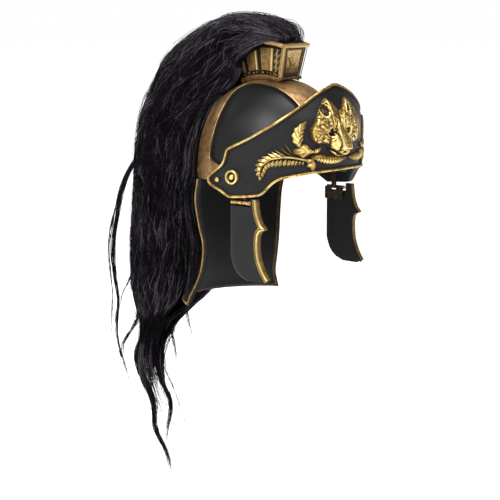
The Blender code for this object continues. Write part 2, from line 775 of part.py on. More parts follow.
def make_cheek_guard(side, material):
    label = "right" if side < 0 else "left"
    front, back = [], []
    for drop, rear, fore in CHEEK_ROWS:
        alongs = [rear + (fore - rear) * share for share in np.linspace(0, 1, 4)]
        front.append([cheek_point(drop, a, side, cheek_wall / 2) for a in alongs])
        back.append([cheek_point(drop, a, side, -cheek_wall / 2) for a in alongs])
    return sheet_solid(f"cheek_guard_{label}", front, back, material)


def make_cheek_trim(side, material):
    """The raised strip along the scalloped front edge."""
    label = "right" if side < 0 else "left"
    path = [cheek_point(drop, fore, side, cheek_wall / 2) for drop, _, fore in CHEEK_ROWS[:-1]]
    if side < 0:
        path = path[::-1]
    normals = [np.array([side, 0.0, 0.0])] * len(path)
    sections = edge_strip(path, normals, trim_width, trim_rise, False)
    return loft_solid(f"cheek_trim_{label}", sections, material)


def make_hinge(side, material, pin_material):
    """A fixed leaf with the middle knuckle, a guard leaf with the outer two, and the pin."""
    label = "right" if side < 0 else "left"
    x = side * hinge_x
    start = -knuckle_start
    end = start - knuckle_span
    middle = (start + end) / 2
    near, far = middle + centre_knuckle / 2, middle - centre_knuckle / 2
    leaf_x = sorted((side * (hinge_x - leaf_inset - leaf_thickness / 2),
                     side * (hinge_x - leaf_inset + leaf_thickness / 2)))
    bridge_x = sorted((leaf_x[0] if side > 0 else leaf_x[1], x - side * 0.8 * knuckle_radius))
    leaf_top = rim_z + leaf_thickness * 4
    bore_radius = pin_radius + pin_clearance

    fixed = block(f"helmet_hinge_{label}", (leaf_x[0], far, hinge_z - 0.25),
                  (leaf_x[1], near, leaf_top), material)
    bridge = block(f"fixed_bridge_{label}", (bridge_x[0], far, hinge_z - 0.24),
                   (bridge_x[1], near, hinge_z + 0.2), material)
    knuckle = cylinder(f"fixed_knuckle_{label}", knuckle_radius, far, near, x, hinge_z, knuckle_sides, material)
    bore = cylinder(f"fixed_bore_{label}", bore_radius, far - 1, near + 1, x, hinge_z, knuckle_sides, material)
    combine(fixed, [bridge, knuckle], "UNION")
    combine(fixed, [bore], "DIFFERENCE")

    strap_top = hinge_z - 2.2 * knuckle_radius
    strap = block(f"guard_hinge_{label}", (leaf_x[0], end, strap_top - guard_leaf_height),
                  (leaf_x[1], start, strap_top), material)
    parts = []
    for number, (low, high) in enumerate(((near + knuckle_gap, start), (end, far - knuckle_gap))):
        parts.append(block(f"guard_riser_{label}_{number}", (leaf_x[0] + 0.01, low, strap_top - 0.3),
                           (leaf_x[1] - 0.01, high, hinge_z + 0.05), material))
        parts.append(block(f"guard_bridge_{label}_{number}", (bridge_x[0] + 0.02, low + 0.01, hinge_z - 0.3),
                           (bridge_x[1] - 0.02, high - 0.01, hinge_z + 0.04), material))
        parts.append(cylinder(f"guard_knuckle_{label}_{number}", knuckle_radius, low - 0.001, high - 0.001,
                              x, hinge_z, knuckle_sides, material))
    bore = cylinder(f"guard_bore_{label}", bore_radius, end - 1, start + 1, x, hinge_z, knuckle_sides, material)
    combine(strap, parts, "UNION")
    combine(strap, [bore], "DIFFERENCE")
    pin = cylinder(f"hinge_pin_{label}", pin_radius, end, start, x, hinge_z, knuckle_sides, pin_material)
    return fixed, strap, pin


def neck_row(share):
    """Side edge across, side edge back and middle of the back, in millimetres, at a drop share."""
    shares = [row[0] for row in NECK_ROWS]
    scales = (bowl_half_width, bowl_half_length, bowl_half_length)
    return [float(np.interp(share, shares, [row[k] for row in NECK_ROWS])) * scales[k - 1] for k in (1, 2, 3)]


def neck_face(turn, share):
    """The neck guard's outer face: turn runs from -1 at the right edge to 1 at the left edge."""
    edge_x, edge_y, back = neck_row(share)
    half = edge_x / math.sqrt(1 - (edge_y / back) ** 2)
    limit = math.acos(edge_y / back)
    angle = turn * limit
    z = rim_z - seat_gap - neck_drop * share
    return np.array([half * math.sin(angle), back * math.cos(angle), z])


def neck_normal(turn, share):
    step = 0.02
    across = neck_face(turn - step, share) - neck_face(turn + step, share)
    upward = neck_face(turn, share - step) - neck_face(turn, share + step)
    return unit(np.cross(across, upward))


def make_neck_guard(material):
    turns = np.linspace(-1, 1, 11)
    front, back = [], []
    for row in NECK_ROWS:
        share = row[0]
        front.append([neck_face(t, share) for t in turns])
        inner = [neck_face(t, share) - neck_normal(t, share) * neck_wall for t in turns]
        for point in inner:
            point[2] = front[-1][0][2]
        back.append(inner)
    return sheet_solid("neck_guard", front, back, material)


def make_neck_edging(material):
    shares = [row[0] for row in NECK_ROWS]
    route = [(-1, share) for share in shares]
    route += [(t, 1.0) for t in np.linspace(-1, 1, 13)[1:-1]]
    route += [(1, share) for share in reversed(shares)]
    path = [neck_face(t, share) for t, share in route]
    normals = [neck_normal(t, share) for t, share in route]
    sections = edge_strip(path, normals, neck_edging_width, edging_rise, False)
    return loft_solid("neck_edging", sections, material)


def crest_place(x, angle, height):
    """A point over the midline band: angle about the bowl's centre, height above the band."""
    turn = math.radians(angle)
    spread = ((math.sin(turn) / bowl_half_length) ** 2 + (math.cos(turn) / bowl_half_height) ** 2) ** -0.5
    radius = spread * math.sqrt(max(1 - (x / bowl_half_width) ** 2, 0)) + seat_gap + band_rise + seat_gap
    if height > 0:
        radius = spread + seat_gap + band_rise + seat_gap + height
    return np.array([x, radius * math.sin(turn), bowl_centre + radius * math.cos(turn)])


def crest_section(angle, inset):
    """One section of the crest box, from the foot up and over to the other side."""
    share_of = lambda height: crest_foot_half + (crest_top_half - crest_foot_half) * height / crest_height
    lip_under = crest_height - crest_lip_height
    right = [(crest_foot_half + 0.2, 0.0), (crest_foot_half + 0.2, crest_foot_height),
             (share_of(crest_foot_height) - inset, crest_foot_height + 0.1),
             (share_of(lip_under) - inset, lip_under),
             (crest_top_half + crest_lip, lip_under + 0.1), (crest_top_half + crest_lip, crest_height)]
    places = [(-x, h) for x, h in right] + [(x, h) for x, h in reversed(right)]
    foot = [(x, 0.0) for x in (crest_foot_half / 2, -crest_foot_half / 2)]
    return [crest_place(x, angle, h) for x, h in places + foot]


def crest_stations():
    """Angles along the box and how deep its wall lies at each: a frame, then panels and flutes."""
    panel = (crest_back_angle - crest_front_angle) / (crest_panels + 0.35)
    stations = [(0.0, 0.0), (0.13, 0.0), (0.15, 1.0), (0.26, 1.0)]
    for i in range(crest_panels):
        base = 0.28 + i
        stations += [(base, 0.0), (base + 0.58, 0.0), (base + 0.62, 0.5), (base + 0.66, -0.2),
                     (base + 0.78, -0.2), (base + 0.80, 1.0), (base + 0.97, 1.0)]
    stations = [station for station in stations if station[0] < crest_panels + 0.2]
    stations += [(crest_panels + 0.22, 0.0), (crest_panels + 0.35, 0.0)]
    return [(crest_front_angle + panel * at, depth) for at, depth in stations]


def make_crest_box(material):
    sections = [crest_section(angle, crest_flute_depth * depth) for angle, depth in crest_stations()]
    box = loft_solid("crest_box", sections, material)
    turn = math.radians(crest_front_angle)
    ahead = np.array([0, -math.cos(turn), math.sin(turn)])
    lip_under = crest_height - crest_lip_height
    corners = [(-crest_foot_half, crest_foot_height), (crest_foot_half, crest_foot_height),
               (crest_top_half, lip_under), (-crest_top_half, lip_under)]
    middle_height = (crest_foot_height + lip_under) / 2
    frame, sunk = 0.45, 0.45 - panel_recess
    rings = []
    for inset, out in ((0.0, -0.4), (0.0, 0.3), (0.25, frame), (panel_frame, frame),
                       (panel_frame + 0.1, sunk), (2 * panel_frame, sunk + 0.05),
                       (2.3 * panel_frame, sunk + panel_rise), (3.0 * panel_frame, sunk + panel_rise)):
        ring = []
        for x, h in corners:
            x -= math.copysign(inset, x)
            h -= math.copysign(inset, h - middle_height)
            ring.append(crest_place(x, crest_front_angle, h) + ahead * out)
        rings.append(ring)
    panel = loft_solid("crest_front_panel", rings, material)
    lip = []
    for out in (-0.4, 0.9):
        ring = []
        for x, h in ((-1, -0.9), (1, -0.9), (1, 0.03), (-1, 0.03)):
            place = crest_place(x * (crest_top_half + crest_lip + 0.05), crest_front_angle, crest_height + h)
            ring.append(place + ahead * out)
        lip.append(ring)
    front_lip = loft_solid("crest_front_lip", lip, material)
    return combine(box, [panel, front_lip], "UNION")


def plume_arc(count, first, last, power):
    """Points of a flattened ring between two turns: across and along, each from -1 to 1."""
    arc = []
    for turn in np.linspace(first, last, count):
        across, along = math.cos(turn), math.sin(turn)
        size = (abs(along) ** power + abs(across) ** power) ** (-1 / power)
        arc.append((across * size, along * size))
    return arc


def plume_section(inner, outer, half_width, shift, drape):
    """A closed section between an inner and an outer point of the side view.

    Its outer side is ridged. Where it has a drape, its sides reach past the inner point."""
    inner, outer = np.array(inner), np.array(outer)
    span, inward = outer - inner, unit(inner - outer)
    count = plume_arc_points
    shape = []
    for i, (across, along) in enumerate(plume_arc(count, 0, math.pi, 2.3)):
        ridge = 1 - plume_ridge * (i % 2)
        shape.append((half_width * across * ridge, 0.5 + 0.5 * along * ridge, 0.0))
    if drape:
        clear = min(max(crest_top_half + crest_lip, midline_half_width) + seat_gap, 0.97 * half_width)
        leg = [(clear + (half_width - clear) * x, level, reach * drape * crest_height)
               for x, level, reach in PLUME_LEG] + [(0.5 * clear, 0.0, 0.0)]
        shape += [(-x, level, reach) for x, level, reach in leg]
        shape += [(0.0, 0.0, 0.0)] + leg[::-1]
    else:
        step = math.pi / (2 * len(PLUME_LEG) + 4)
        under = plume_arc(2 * len(PLUME_LEG) + 3, math.pi + step, 2 * math.pi - step, plume_fullness)
        shape += [(half_width * across, 0.5 + 0.5 * along, 0.0) for across, along in under]
    return [np.array([shift + x, *(inner + span * level + inward * reach)]) for x, level, reach in shape]


def helmet_back(z):
    """How far back the helmet and the plume's clearance reach at the height z."""
    if z > rim_z:
        room = seat_gap + band_rise + plume_clearance
        share = max(0.0, 1 - ((z - bowl_centre) / (bowl_half_height + room)) ** 2)
        band = (bowl_half_length + room) * math.sqrt(share)
        box = (z - bowl_centre) * math.tan(math.radians(crest_back_angle)) + plume_clearance
        return max(band, box if z > -2 * crest_foot_height else 0)
    share = min(1.0, (rim_z - seat_gap - z) / neck_drop)
    return neck_row(max(share, 0.0))[2] + seat_gap + edging_rise + plume_clearance


def plume_inner(z):
    """Inner side of the falling plume: below the rim, hair hangs clear of all that it has passed."""
    lowest = max(z, rim_z - seat_gap - neck_drop)
    reach = helmet_back(lowest)
    if z < rim_z:
        reach = max(helmet_back(rim_z + (lowest - rim_z) * share) for share in np.linspace(0, 1, 9))
    return reach


def make_plume(material):
    sections = []
    over_box = crest_height + seat_gap + 0.1
    for angle, thickness, half_width, drape in PLUME_TOP:
        inner = crest_place(0, angle, over_box)
        outer = crest_place(0, angle, over_box + thickness * plume_depth)
        sections.append(plume_section(inner[1:], outer[1:], half_width * plume_half_width, 0.0, drape))
    for drop, outer_drop, room, thickness, half_width, shift, drape in PLUME_FALL:
        inner = (plume_inner(-drop * plume_drop) + room * plume_depth, -drop * plume_drop)
        outer = (inner[0] + thickness * plume_depth, -outer_drop * plume_drop)
        sections.append(plume_section(inner, outer, half_width * plume_half_width,
                                      shift * plume_depth, drape))
    rows = []
    for i, (here, there) in enumerate(zip(sections, sections[1:])):
        around = [sections[max(i - 1, 0)], here, there, sections[min(i + 2, len(sections) - 1)]]
        length = np.linalg.norm(np.array(there) - np.array(here), axis=1).mean()
        steps = max(1, round(length / plume_row_step))
        rows += [curve_between(*[np.array(section) for section in around], step / steps)
                 for step in range(steps)]
    plume = loft_solid("plume", rows + [sections[-1]], material, smooth=60)
    return combine(plume, [make_lock(*row, material) for row in LOCKS], "UNION")


def make_lock(name, root_drop, tip_drop, root_x, root_y, tip_x, tip_y, bow, radius, material):
    """One tapered lock of hair that leaves the plume's mass."""
    base = plume_inner(rim_z)
    root = np.array([root_x * plume_half_width, base + root_y * plume_depth, -root_drop * plume_drop])
    tip = np.array([tip_x * plume_half_width, base + tip_y * plume_depth, -tip_drop * plume_drop])
    sections = []
    for i in range(lock_rows + 1):
        share = i / lock_rows
        middle = root + (tip - root) * share
        middle[1] += bow * plume_depth * math.sin(math.pi * share**0.8)
        middle[0] += 0.5 * radius * math.sin(3 * math.pi * share)
        size = radius * (0.55 + 0.45 * math.sin(math.pi * min(1, share * 1.6))) * (1 - 0.85 * share**2)
        turns = [2 * math.pi * k / lock_sides for k in range(lock_sides)]
        sections.append([middle + np.array([size * math.cos(t), size * math.sin(t), 0]) for t in turns])
    return loft_solid(f"{name}_lock", sections, material)


def hang_on(empty_name, x, z, children):
    """An empty on a hinge's axis that carries the pieces that swing with it."""
    empty = bpy.data.objects.new(empty_name, None)
    bpy.context.scene.collection.objects.link(empty)
    empty.location = (x * MM, 0, z * MM)
    bpy.context.view_layer.update()
    for child in children:
        child.parent = empty
        child.matrix_parent_inverse = empty.matrix_world.inverted()


def build():
    clear_scene()
    black = make_material("black_satin", (0.022, 0.022, 0.024), 0.42, 0.0)
    gold = make_material("antique_gold", (0.55, 0.36, 0.13), 0.36, 0.9)
    bronze = make_material("dull_gold", (0.36, 0.24, 0.12), 0.42, 0.8)
    hair = make_material("black_hair", (0.018, 0.014, 0.018), 0.5, 0.0)
    steel = make_material("hinge_pin", (0.30, 0.28, 0.25), 0.4, 1.0)
    make_bowl(black)
    make_crown_bands(bronze)
    make_brow_plate(black)
    make_brow_edging(gold)
    make_wolf_head(gold)
    make_neck_guard(black)
    make_neck_edging(gold)
    make_crest_box(bronze)
    make_plume(hair)
    for side in (-1, 1):
        make_leaf_spray(side, gold)
        make_boss(side, gold)
        make_stud(side, gold)
        _, guard_leaf, _ = make_hinge(side, gold, steel)
        guard = make_cheek_guard(side, black)
        trim = make_cheek_trim(side, gold)
        label = "right" if side < 0 else "left"
        hang_on(f"cheek_axis_{label}", side * hinge_x, hinge_z, [guard, trim, guard_leaf])


build()
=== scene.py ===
"""Looks of the roman parade helmet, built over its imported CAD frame.

Lengths are in millimetres until a mesh is made. +Z is up, the front faces -Y and the wearer's
left is +X. The sizes and surfaces repeat those of the CAD source.
"""

import math

import bpy
import numpy as np
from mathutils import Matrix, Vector


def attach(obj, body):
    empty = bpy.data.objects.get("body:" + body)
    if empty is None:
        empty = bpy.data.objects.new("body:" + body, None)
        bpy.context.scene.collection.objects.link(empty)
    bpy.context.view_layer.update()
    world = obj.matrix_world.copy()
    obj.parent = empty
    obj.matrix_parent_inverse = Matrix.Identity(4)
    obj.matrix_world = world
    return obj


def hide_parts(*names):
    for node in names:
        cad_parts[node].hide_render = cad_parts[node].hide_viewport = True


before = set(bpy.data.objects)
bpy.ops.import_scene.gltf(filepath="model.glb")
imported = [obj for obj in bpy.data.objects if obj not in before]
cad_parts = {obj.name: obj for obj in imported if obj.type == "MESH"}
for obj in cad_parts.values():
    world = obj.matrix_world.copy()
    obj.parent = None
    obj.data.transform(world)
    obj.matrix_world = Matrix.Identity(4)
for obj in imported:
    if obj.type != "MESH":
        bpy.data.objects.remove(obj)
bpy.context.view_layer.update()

MM = 0.001

# The gap between pieces, and how far raised metal reaches into the face that carries it
seat_gap = 0.2
sunk = -0.04

# Bowl and the bands over it
bowl_half_width = 16.6
bowl_half_length = 19.2
bowl_half_height = 20.3
bowl_wall = 1.0
bowl_skirt = 1.5
band_rise = 0.45
midline_half_width = 5.0
cross_front = 5.2
cross_width = 4.5
rim_band_height = 4.4
rim_band_fall = 0.3
rear_rim_height = 1.3
rim_tuck = 0.5
front_band_reach = 16.2
rim_band_reach = 9.0
panel_corner = 4.6
panel_bead_width = 0.32
panel_bead_rise = 0.19

# Brow plate
brow_wall = 0.8
brow_front_room = 0.3
brow_side_room = 0.9
brow_peak_rise = 1.0
brow_height = 25.1
brow_upright = 8.5
brow_peak_setback = 3.4
brow_peak_narrowing = 8.8
brow_squareness = 2.2
edging_width = 0.8
edging_rise = 0.4

# Relief on the brow plate; the face's middle lies a little to the wearer's right
head_shift = -1.3
head_width = 16.0
head_height = 12.8
head_top_drop = 3.1
head_middle = -0.6

# Ear boss and stud
boss_radius = 1.7
boss_rise = 0.75
boss_angle = 79.7
boss_drop = 20.3
stud_radius = 0.55
stud_rise = 0.5
stud_angle = 93.0
stud_drop = 21.2

# Cheek guards
cheek_drop = 17.4
cheek_depth = 10.75
cheek_rear = 2.3
cheek_wall = 0.8
cheek_toe_in = 0.5
cheek_inset = 0.85
trim_width = 1.1
trim_rise = 0.45
hinge_drop = 0.9
knuckle_radius = 0.42

# Neck guard
neck_wall = 1.0
neck_drop = 29.2
neck_edging_width = 0.75

# Crest box
crest_height = 8.4
crest_front_angle = -12.5
crest_back_angle = 17.5
crest_foot_half = 3.7
crest_top_half = 4.3
crest_lip = 0.45
crest_lip_height = 1.0
crest_foot_height = 0.9

# Plume
plume_half_width = 11.0
plume_depth = 20.0
plume_drop = 99.0
plume_clearance = 0.5

bowl_centre = bowl_wall - bowl_half_height
rim_z = bowl_centre - bowl_skirt
cross_back = cross_front + cross_width
rim_band_top = rim_z + rim_band_height
brow_top = brow_peak_rise
brow_half_length = bowl_half_length + brow_front_room + brow_wall
brow_half_width = bowl_half_width + brow_side_room + brow_wall
hinge_x = brow_half_width - cheek_inset
hinge_z = brow_top - brow_height - hinge_drop
BOWL = np.array([bowl_half_width, bowl_half_length, bowl_half_height])
BOWL_CENTRE = np.array([0.0, 0.0, bowl_centre])

# Outlines, as in the CAD source; the hair's fall lies a little inside its solid
# Brow plate's edges: degrees from the middle, and share of the height below the peak
BROW_UPPER = [(0, 0.0), (3, 0.006), (14.2, 0.052), (24, 0.11), (34.5, 0.191), (42.5, 0.252),
              (50.5, 0.319), (66.6, 0.446), (75.2, 0.502), (85.2, 0.562), (86.2, 0.622),
              (87.8, 0.685), (91.5, 0.725), (98.6, 0.785), (102.1, 0.825)]
BROW_LOWER = [(0, 0.757), (15.9, 0.761), (28.8, 0.773), (41.9, 0.803), (46.1, 0.817),
              (49.7, 0.843), (53.4, 0.892), (57.5, 0.952), (61, 0.974), (69.1, 0.985),
              (82.8, 1.0), (91, 0.944), (98.6, 0.912), (102.1, 0.884)]
# Cheek guard: share of its drop, then shares of its depth at the rear and front edge
CHEEK_ROWS = [(-0.063, 0.54, 0.69), (0.03, 0.54, 0.71), (0.045, 0.0, 0.712), (0.115, 0.0, 0.73),
              (0.18, 0.0, 0.765), (0.253, 0.0, 0.82), (0.31, 0.0, 0.92), (0.335, 0.0, 0.80),
              (0.38, 0.0, 0.755), (0.45, 0.0, 0.735), (0.529, 0.0, 0.735), (0.61, 0.0, 0.745),
              (0.69, 0.0, 0.765), (0.77, 0.035, 0.81), (0.845, 0.085, 0.87),
              (0.91, 0.17, 0.935), (0.957, 0.27, 1.0), (1.0, 0.46, 0.87)]
# Neck guard: share of its drop, then its edge across, its edge behind and its back, as
# shares of the bowl's half sizes
NECK_ROWS = [(0.0, 0.94, 0.468, 1.026), (0.06, 0.925, 0.505, 1.018), (0.17, 0.904, 0.547, 1.005),
             (0.375, 0.843, 0.531, 0.969), (0.535, 0.783, 0.50, 0.948), (0.70, 0.783, 0.526, 0.969),
             (0.80, 0.80, 0.56, 1.0), (0.905, 0.85, 0.62, 1.068), (1.0, 0.964, 0.64, 1.146)]
# Animal head: shares of its half width and of its height
HEAD_OUTLINE = [(0.0, 0.21), (0.11, 0.18), (0.25, 0.07), (0.40, 0.0), (0.52, 0.03), (0.61, 0.09),
                (0.71, 0.17), (0.75, 0.20), (0.83, 0.31), (0.85, 0.35), (0.93, 0.44), (0.99, 0.50),
                (1.0, 0.56), (0.97, 0.63), (0.90, 0.71), (0.75, 0.745), (0.59, 0.745), (0.47, 0.80),
                (0.43, 0.88), (0.33, 0.955), (0.19, 0.985), (0.0, 1.0)]
# Hair over the box: angle, thickness, half width, drape
PLUME_TOP = [(-11.6, 0.02, 0.15, 0.0), (-10.2, 0.07, 0.28, 0.0), (-6.5, 0.13, 0.44, 0.05),
             (-1.0, 0.20, 0.56, 0.14), (4.0, 0.245, 0.60, 0.30), (8.5, 0.275, 0.61, 0.46),
             (13.0, 0.305, 0.62, 0.62), (19.2, 0.365, 0.63, 0.84)]
# Hair behind the box: drop of its inner and outer side, room, thickness, half width, shift,
# drape
PLUME_FALL = [(-0.045, -0.106, 0.0, 0.80, 0.66, 0.0, 0.46), (-0.002, -0.05, 0.0, 1.155, 0.71, 0.0, 0.26),
              (0.022, -0.018, 0.0, 1.02, 0.74, 0.0, 0.26), (0.05, 0.02, 0.0, 0.97, 0.78, 0.0, 0.36),
              (0.10, 0.076, 0.0, 0.96, 0.85, 0.0, 0.33), (0.16, 0.14, 0.0, 0.94, 0.91, 0.0, 0.30),
              (0.22, 0.205, 0.0, 0.925, 0.94, 0.0, 0.24), (0.30, 0.30, 0.03, 0.89, 0.98, 0.0, 0.15),
              (0.385, 0.385, 0.05, 0.935, 1.0, 0.0, 0.10), (0.455, 0.46, 0.04, 0.925, 0.99, 0.0, 0.0),
              (0.505, 0.51, 0.06, 0.85, 0.90, 0.0, 0.0), (0.55, 0.565, 0.20, 0.65, 0.72, -0.02, 0.0),
              (0.59, 0.605, 0.45, 0.36, 0.46, -0.05, 0.0), (0.625, 0.63, 0.56, 0.25, 0.28, -0.09, 0.0),
              (0.69, 0.695, 0.61, 0.25, 0.24, -0.14, 0.0), (0.755, 0.76, 0.55, 0.25, 0.24, -0.15, 0.0),
              (0.80, 0.80, 0.45, 0.23, 0.22, -0.15, 0.0), (0.84, 0.84, 0.39, 0.20, 0.20, -0.14, 0.0),
              (0.885, 0.885, 0.37, 0.13, 0.14, -0.12, 0.0)]


# Vectors and curves

def unit(vectors):
    vectors = np.asarray(vectors, float)
    return vectors / np.maximum(np.linalg.norm(vectors, axis=-1, keepdims=True), 1e-9)


def smooth_step(low, high, value):
    share = np.clip((value - low) / (high - low), 0, 1)
    return share * share * (3 - 2 * share)


def curve_through(knots, per_span=12):
    """A smooth curve through the knots."""
    knots = np.array(knots, float)
    ends = np.vstack([2 * knots[0] - knots[1], knots, 2 * knots[-1] - knots[-2]])
    curve = []
    for a, b, c, d in zip(ends, ends[1:], ends[2:], ends[3:]):
        for t in np.linspace(0, 1, per_span, endpoint=False):
            curve.append(0.5 * (2 * b + (c - a) * t + (2 * a - 5 * b + 4 * c - d) * t**2
                                + (3 * b - a - 3 * c + d) * t**3))
    return np.array(curve + [knots[-1]])


def arrays(*values):
    """The values as arrays of one shape."""
    return np.broadcast_arrays(*[np.asarray(value, float) for value in values])


def full_turn(count):
    """Angles spread evenly around a circle."""
    return 2 * np.pi * np.arange(count) / count


def lengths_along(path):
    """The length of a path up to each of its points."""
    return np.concatenate([[0], np.cumsum(np.linalg.norm(np.diff(path, axis=0), axis=1))])


def resample(path, count=None, spacing=None, loop=False):
    """Points spread evenly along a path."""
    path = np.array(path, float)
    if loop:
        path = np.vstack([path, path[:1]])
    lengths = lengths_along(path)
    if count is None:
        count = max(2, int(round(lengths[-1] / spacing)) + 1)
    marks = np.linspace(0, lengths[-1], count, endpoint=not loop)
    return np.stack([np.interp(marks, lengths, path[:, k]) for k in range(path.shape[1])], axis=1)


def relax(path, passes, loop=False):
    """The path with its corners eased; open ends stay where they are."""
    path = np.array(path, float)
    for _ in range(passes):
        eased = (np.roll(path, 1, 0) + 2 * path + np.roll(path, -1, 0)) / 4
        if not loop:
            eased[0], eased[-1] = path[0], path[-1]
        path = eased
    return path


def round_corner(path, corner, radius):
    """The path with one corner, nearest to the given point, drawn as a curve."""
    step = 0.2
    path = resample(path, spacing=step)
    at = int(np.argmin(np.linalg.norm(path - corner, axis=1)))
    reach = int(radius / step)
    first, last = max(at - reach, 0), min(at + reach, len(path) - 1)
    t = np.linspace(0, 1, last - first + 1)[:, None]
    path[first:last + 1] = (1 - t)**2 * path[first] + 2 * t * (1 - t) * path[at] + t**2 * path[last]
    return path


def value_noise(points, size, seed):
    """Smooth noise from -1 to 1 at points in millimetres, with features of about that size."""
    places = np.asarray(points, float) / size + 1000.0 + 17.31 * seed
    base = np.floor(places).astype(np.int64)
    share = places - base
    share = share * share * (3 - 2 * share)
    total = 0.0
    for corner in np.ndindex(*(2,) * base.shape[-1]):
        spot = base + np.array(corner)
        mixed = np.zeros(spot.shape[:-1], np.int64)
        for k in range(spot.shape[-1]):
            mixed = (mixed * 1103515245 + spot[..., k] * (12345 + 7919 * k) + seed * 101) % 2147483647
            mixed = (mixed ^ (mixed >> 13)) % 2147483647
        weight = np.prod(np.where(np.array(corner) == 1, share, 1 - share), axis=-1)
        total = total + weight * (mixed % 20011) / 10005.0
    return total - 1.0


# Bodies of mesh

def new_object(name, data):
    made = bpy.data.objects.new(name, data)
    bpy.context.scene.collection.objects.link(made)
    return made


def facing_out(points, faces):
    """The faces, turned so that the closed body's volume is positive."""
    volume = 0.0
    for group in faces:
        for k in range(1, group.shape[1] - 1):
            a, b, c = points[group[:, 0]], points[group[:, k]], points[group[:, k + 1]]
            volume += np.sum(a * np.cross(b, c))
    return faces if volume > 0 else [group[:, ::-1] for group in faces]


def cells(grid):
    """The four corners of each cell of a grid."""
    return np.stack([grid[:-1, :-1], grid[1:, :-1], grid[1:, 1:], grid[:-1, 1:]], 2)


def spread(values, shape):
    """Values for each point of a grid, in one row."""
    return np.broadcast_to(np.asarray(values, float), shape).reshape(-1)


class Form:
    """Closed bodies gathered for one piece, with a darkening value (painted shade and dark antiquing)
    and a tone (painted highlight and wear) for each point.
    """

    def __init__(self):
        self.points, self.faces, self.wash, self.tone, self.count = [], [], [], [], 0

    def add(self, points, faces, wash=0.0, tone=0.0):
        points = np.asarray(points, float).reshape(-1, 3)
        faces = [np.asarray(group, np.int64) for group in faces if len(group)]
        self.faces += [group + self.count for group in facing_out(points, faces)]
        self.points.append(points)
        self.wash.append(spread(wash, len(points)))
        self.tone.append(spread(tone, len(points)))
        self.count += len(points)
        return self

    def loft(self, sections, wash=0.0, tone=0.0, loop=False):
        """A body through closed sections, shaped (rows, around, 3)."""
        sections = np.asarray(sections, float)
        rows, around = sections.shape[:2]
        index = np.arange(rows * around).reshape(rows, around)
        after = np.roll(index, -1, axis=1)
        wash, tone = spread(wash, (rows, around)), spread(tone, (rows, around))
        if loop:
            quads = np.stack([index, after, np.roll(after, -1, 0), np.roll(index, -1, 0)], -1)
            return self.add(sections, [quads.reshape(-1, 4)], wash, tone)
        quads = np.stack([index[:-1], after[:-1], after[1:], index[1:]], -1).reshape(-1, 4)
        points = np.vstack([sections.reshape(-1, 3), sections[0].mean(0), sections[-1].mean(0)])
        caps = [np.stack([after[0], index[0], np.full(around, rows * around)], -1),
                np.stack([index[-1], after[-1], np.full(around, rows * around + 1)], -1)]
        wash, tone = [np.append(v, [v[:around].mean(), v[-around:].mean()]) for v in (wash, tone)]
        return self.add(points, [quads] + caps, wash, tone)

    def shell(self, front, back, wash=0.0, tone=0.0, back_wash=None):
        """A wall between two grids of points; the back grid may take its own painted shade."""
        front, back = np.asarray(front, float), np.asarray(back, float)
        shape, count = front.shape[:2], front.shape[0] * front.shape[1]
        index = np.arange(count).reshape(shape)
        quads = cells(index).reshape(-1, 4)
        border = np.concatenate([index[0, :-1], index[:-1, -1], index[-1, :0:-1], index[:0:-1, 0]])
        after = np.roll(border, -1)
        walls = np.stack([border, after, after + count, border + count], -1)
        wash, tone = spread(wash, shape), spread(tone, shape)
        behind = wash if back_wash is None else spread(back_wash, shape)
        points = np.vstack([front.reshape(-1, 3), back.reshape(-1, 3)])
        faces = [quads, quads[:, ::-1] + count, walls]
        return self.add(points, faces, np.append(wash, behind), np.tile(tone, 2))

    def skin(self, grids, low, high):
        """A raised skin over the bowl from grids of points that share their edges."""
        corners = np.concatenate([cells(np.asarray(grid, float)).reshape(-1, 4, 3) for grid in grids])
        corners = corners.reshape(-1, 3)
        _, first, index = np.unique(np.round(corners, 3), axis=0, return_index=True, return_inverse=True)
        base, quads = corners[first], index.reshape(-1, 4)
        edges = {}
        for quad in quads.tolist():
            for a, b in zip(quad, quad[1:] + quad[:1]):
                edges.setdefault((min(a, b), max(a, b)), []).append((a, b))
        walls = [[b, a, a + len(base), b + len(base)] for uses in edges.values() if len(uses) == 1
                 for a, b in uses]
        points = np.vstack([on_bowl(base, high), on_bowl(base, low)])
        return self.add(points, [quads, quads[:, ::-1] + len(base), np.array(walls)])

    def make(self, name, material, slot, body, replaced=(), sharp=40):
        points = np.concatenate(self.points) * MM
        loops = np.concatenate([group.reshape(-1) for group in self.faces]).astype(np.int32)
        sizes = np.concatenate([np.full(len(group), group.shape[1]) for group in self.faces])
        starts = np.concatenate([[0], np.cumsum(sizes)[:-1]]).astype(np.int32)
        mesh = bpy.data.meshes.new(name)
        mesh.vertices.add(len(points))
        mesh.vertices.foreach_set("co", points.astype(np.float32).reshape(-1))
        mesh.loops.add(len(loops))
        mesh.loops.foreach_set("vertex_index", loops)
        mesh.polygons.add(len(starts))
        mesh.polygons.foreach_set("loop_start", starts)
        mesh.update(calc_edges=True)
        mesh.validate()
        # The darkening attribute paints shade and dark antiquing; the tone attribute paints highlights and
        # wear.
        for label, values in (("wash", self.wash), ("tone", self.tone)):
            layer = mesh.attributes.new(label, "FLOAT", "POINT")
            layer.data.foreach_set("value", np.concatenate(values).astype(np.float32))
        mesh.shade_smooth()
        if sharp:
            mesh.set_sharp_from_angle(angle=math.radians(sharp))
        mesh.materials.append(material)
        piece = new_object(name, mesh)
        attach(piece, body)
        if replaced:
            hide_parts(*replaced)
        return piece


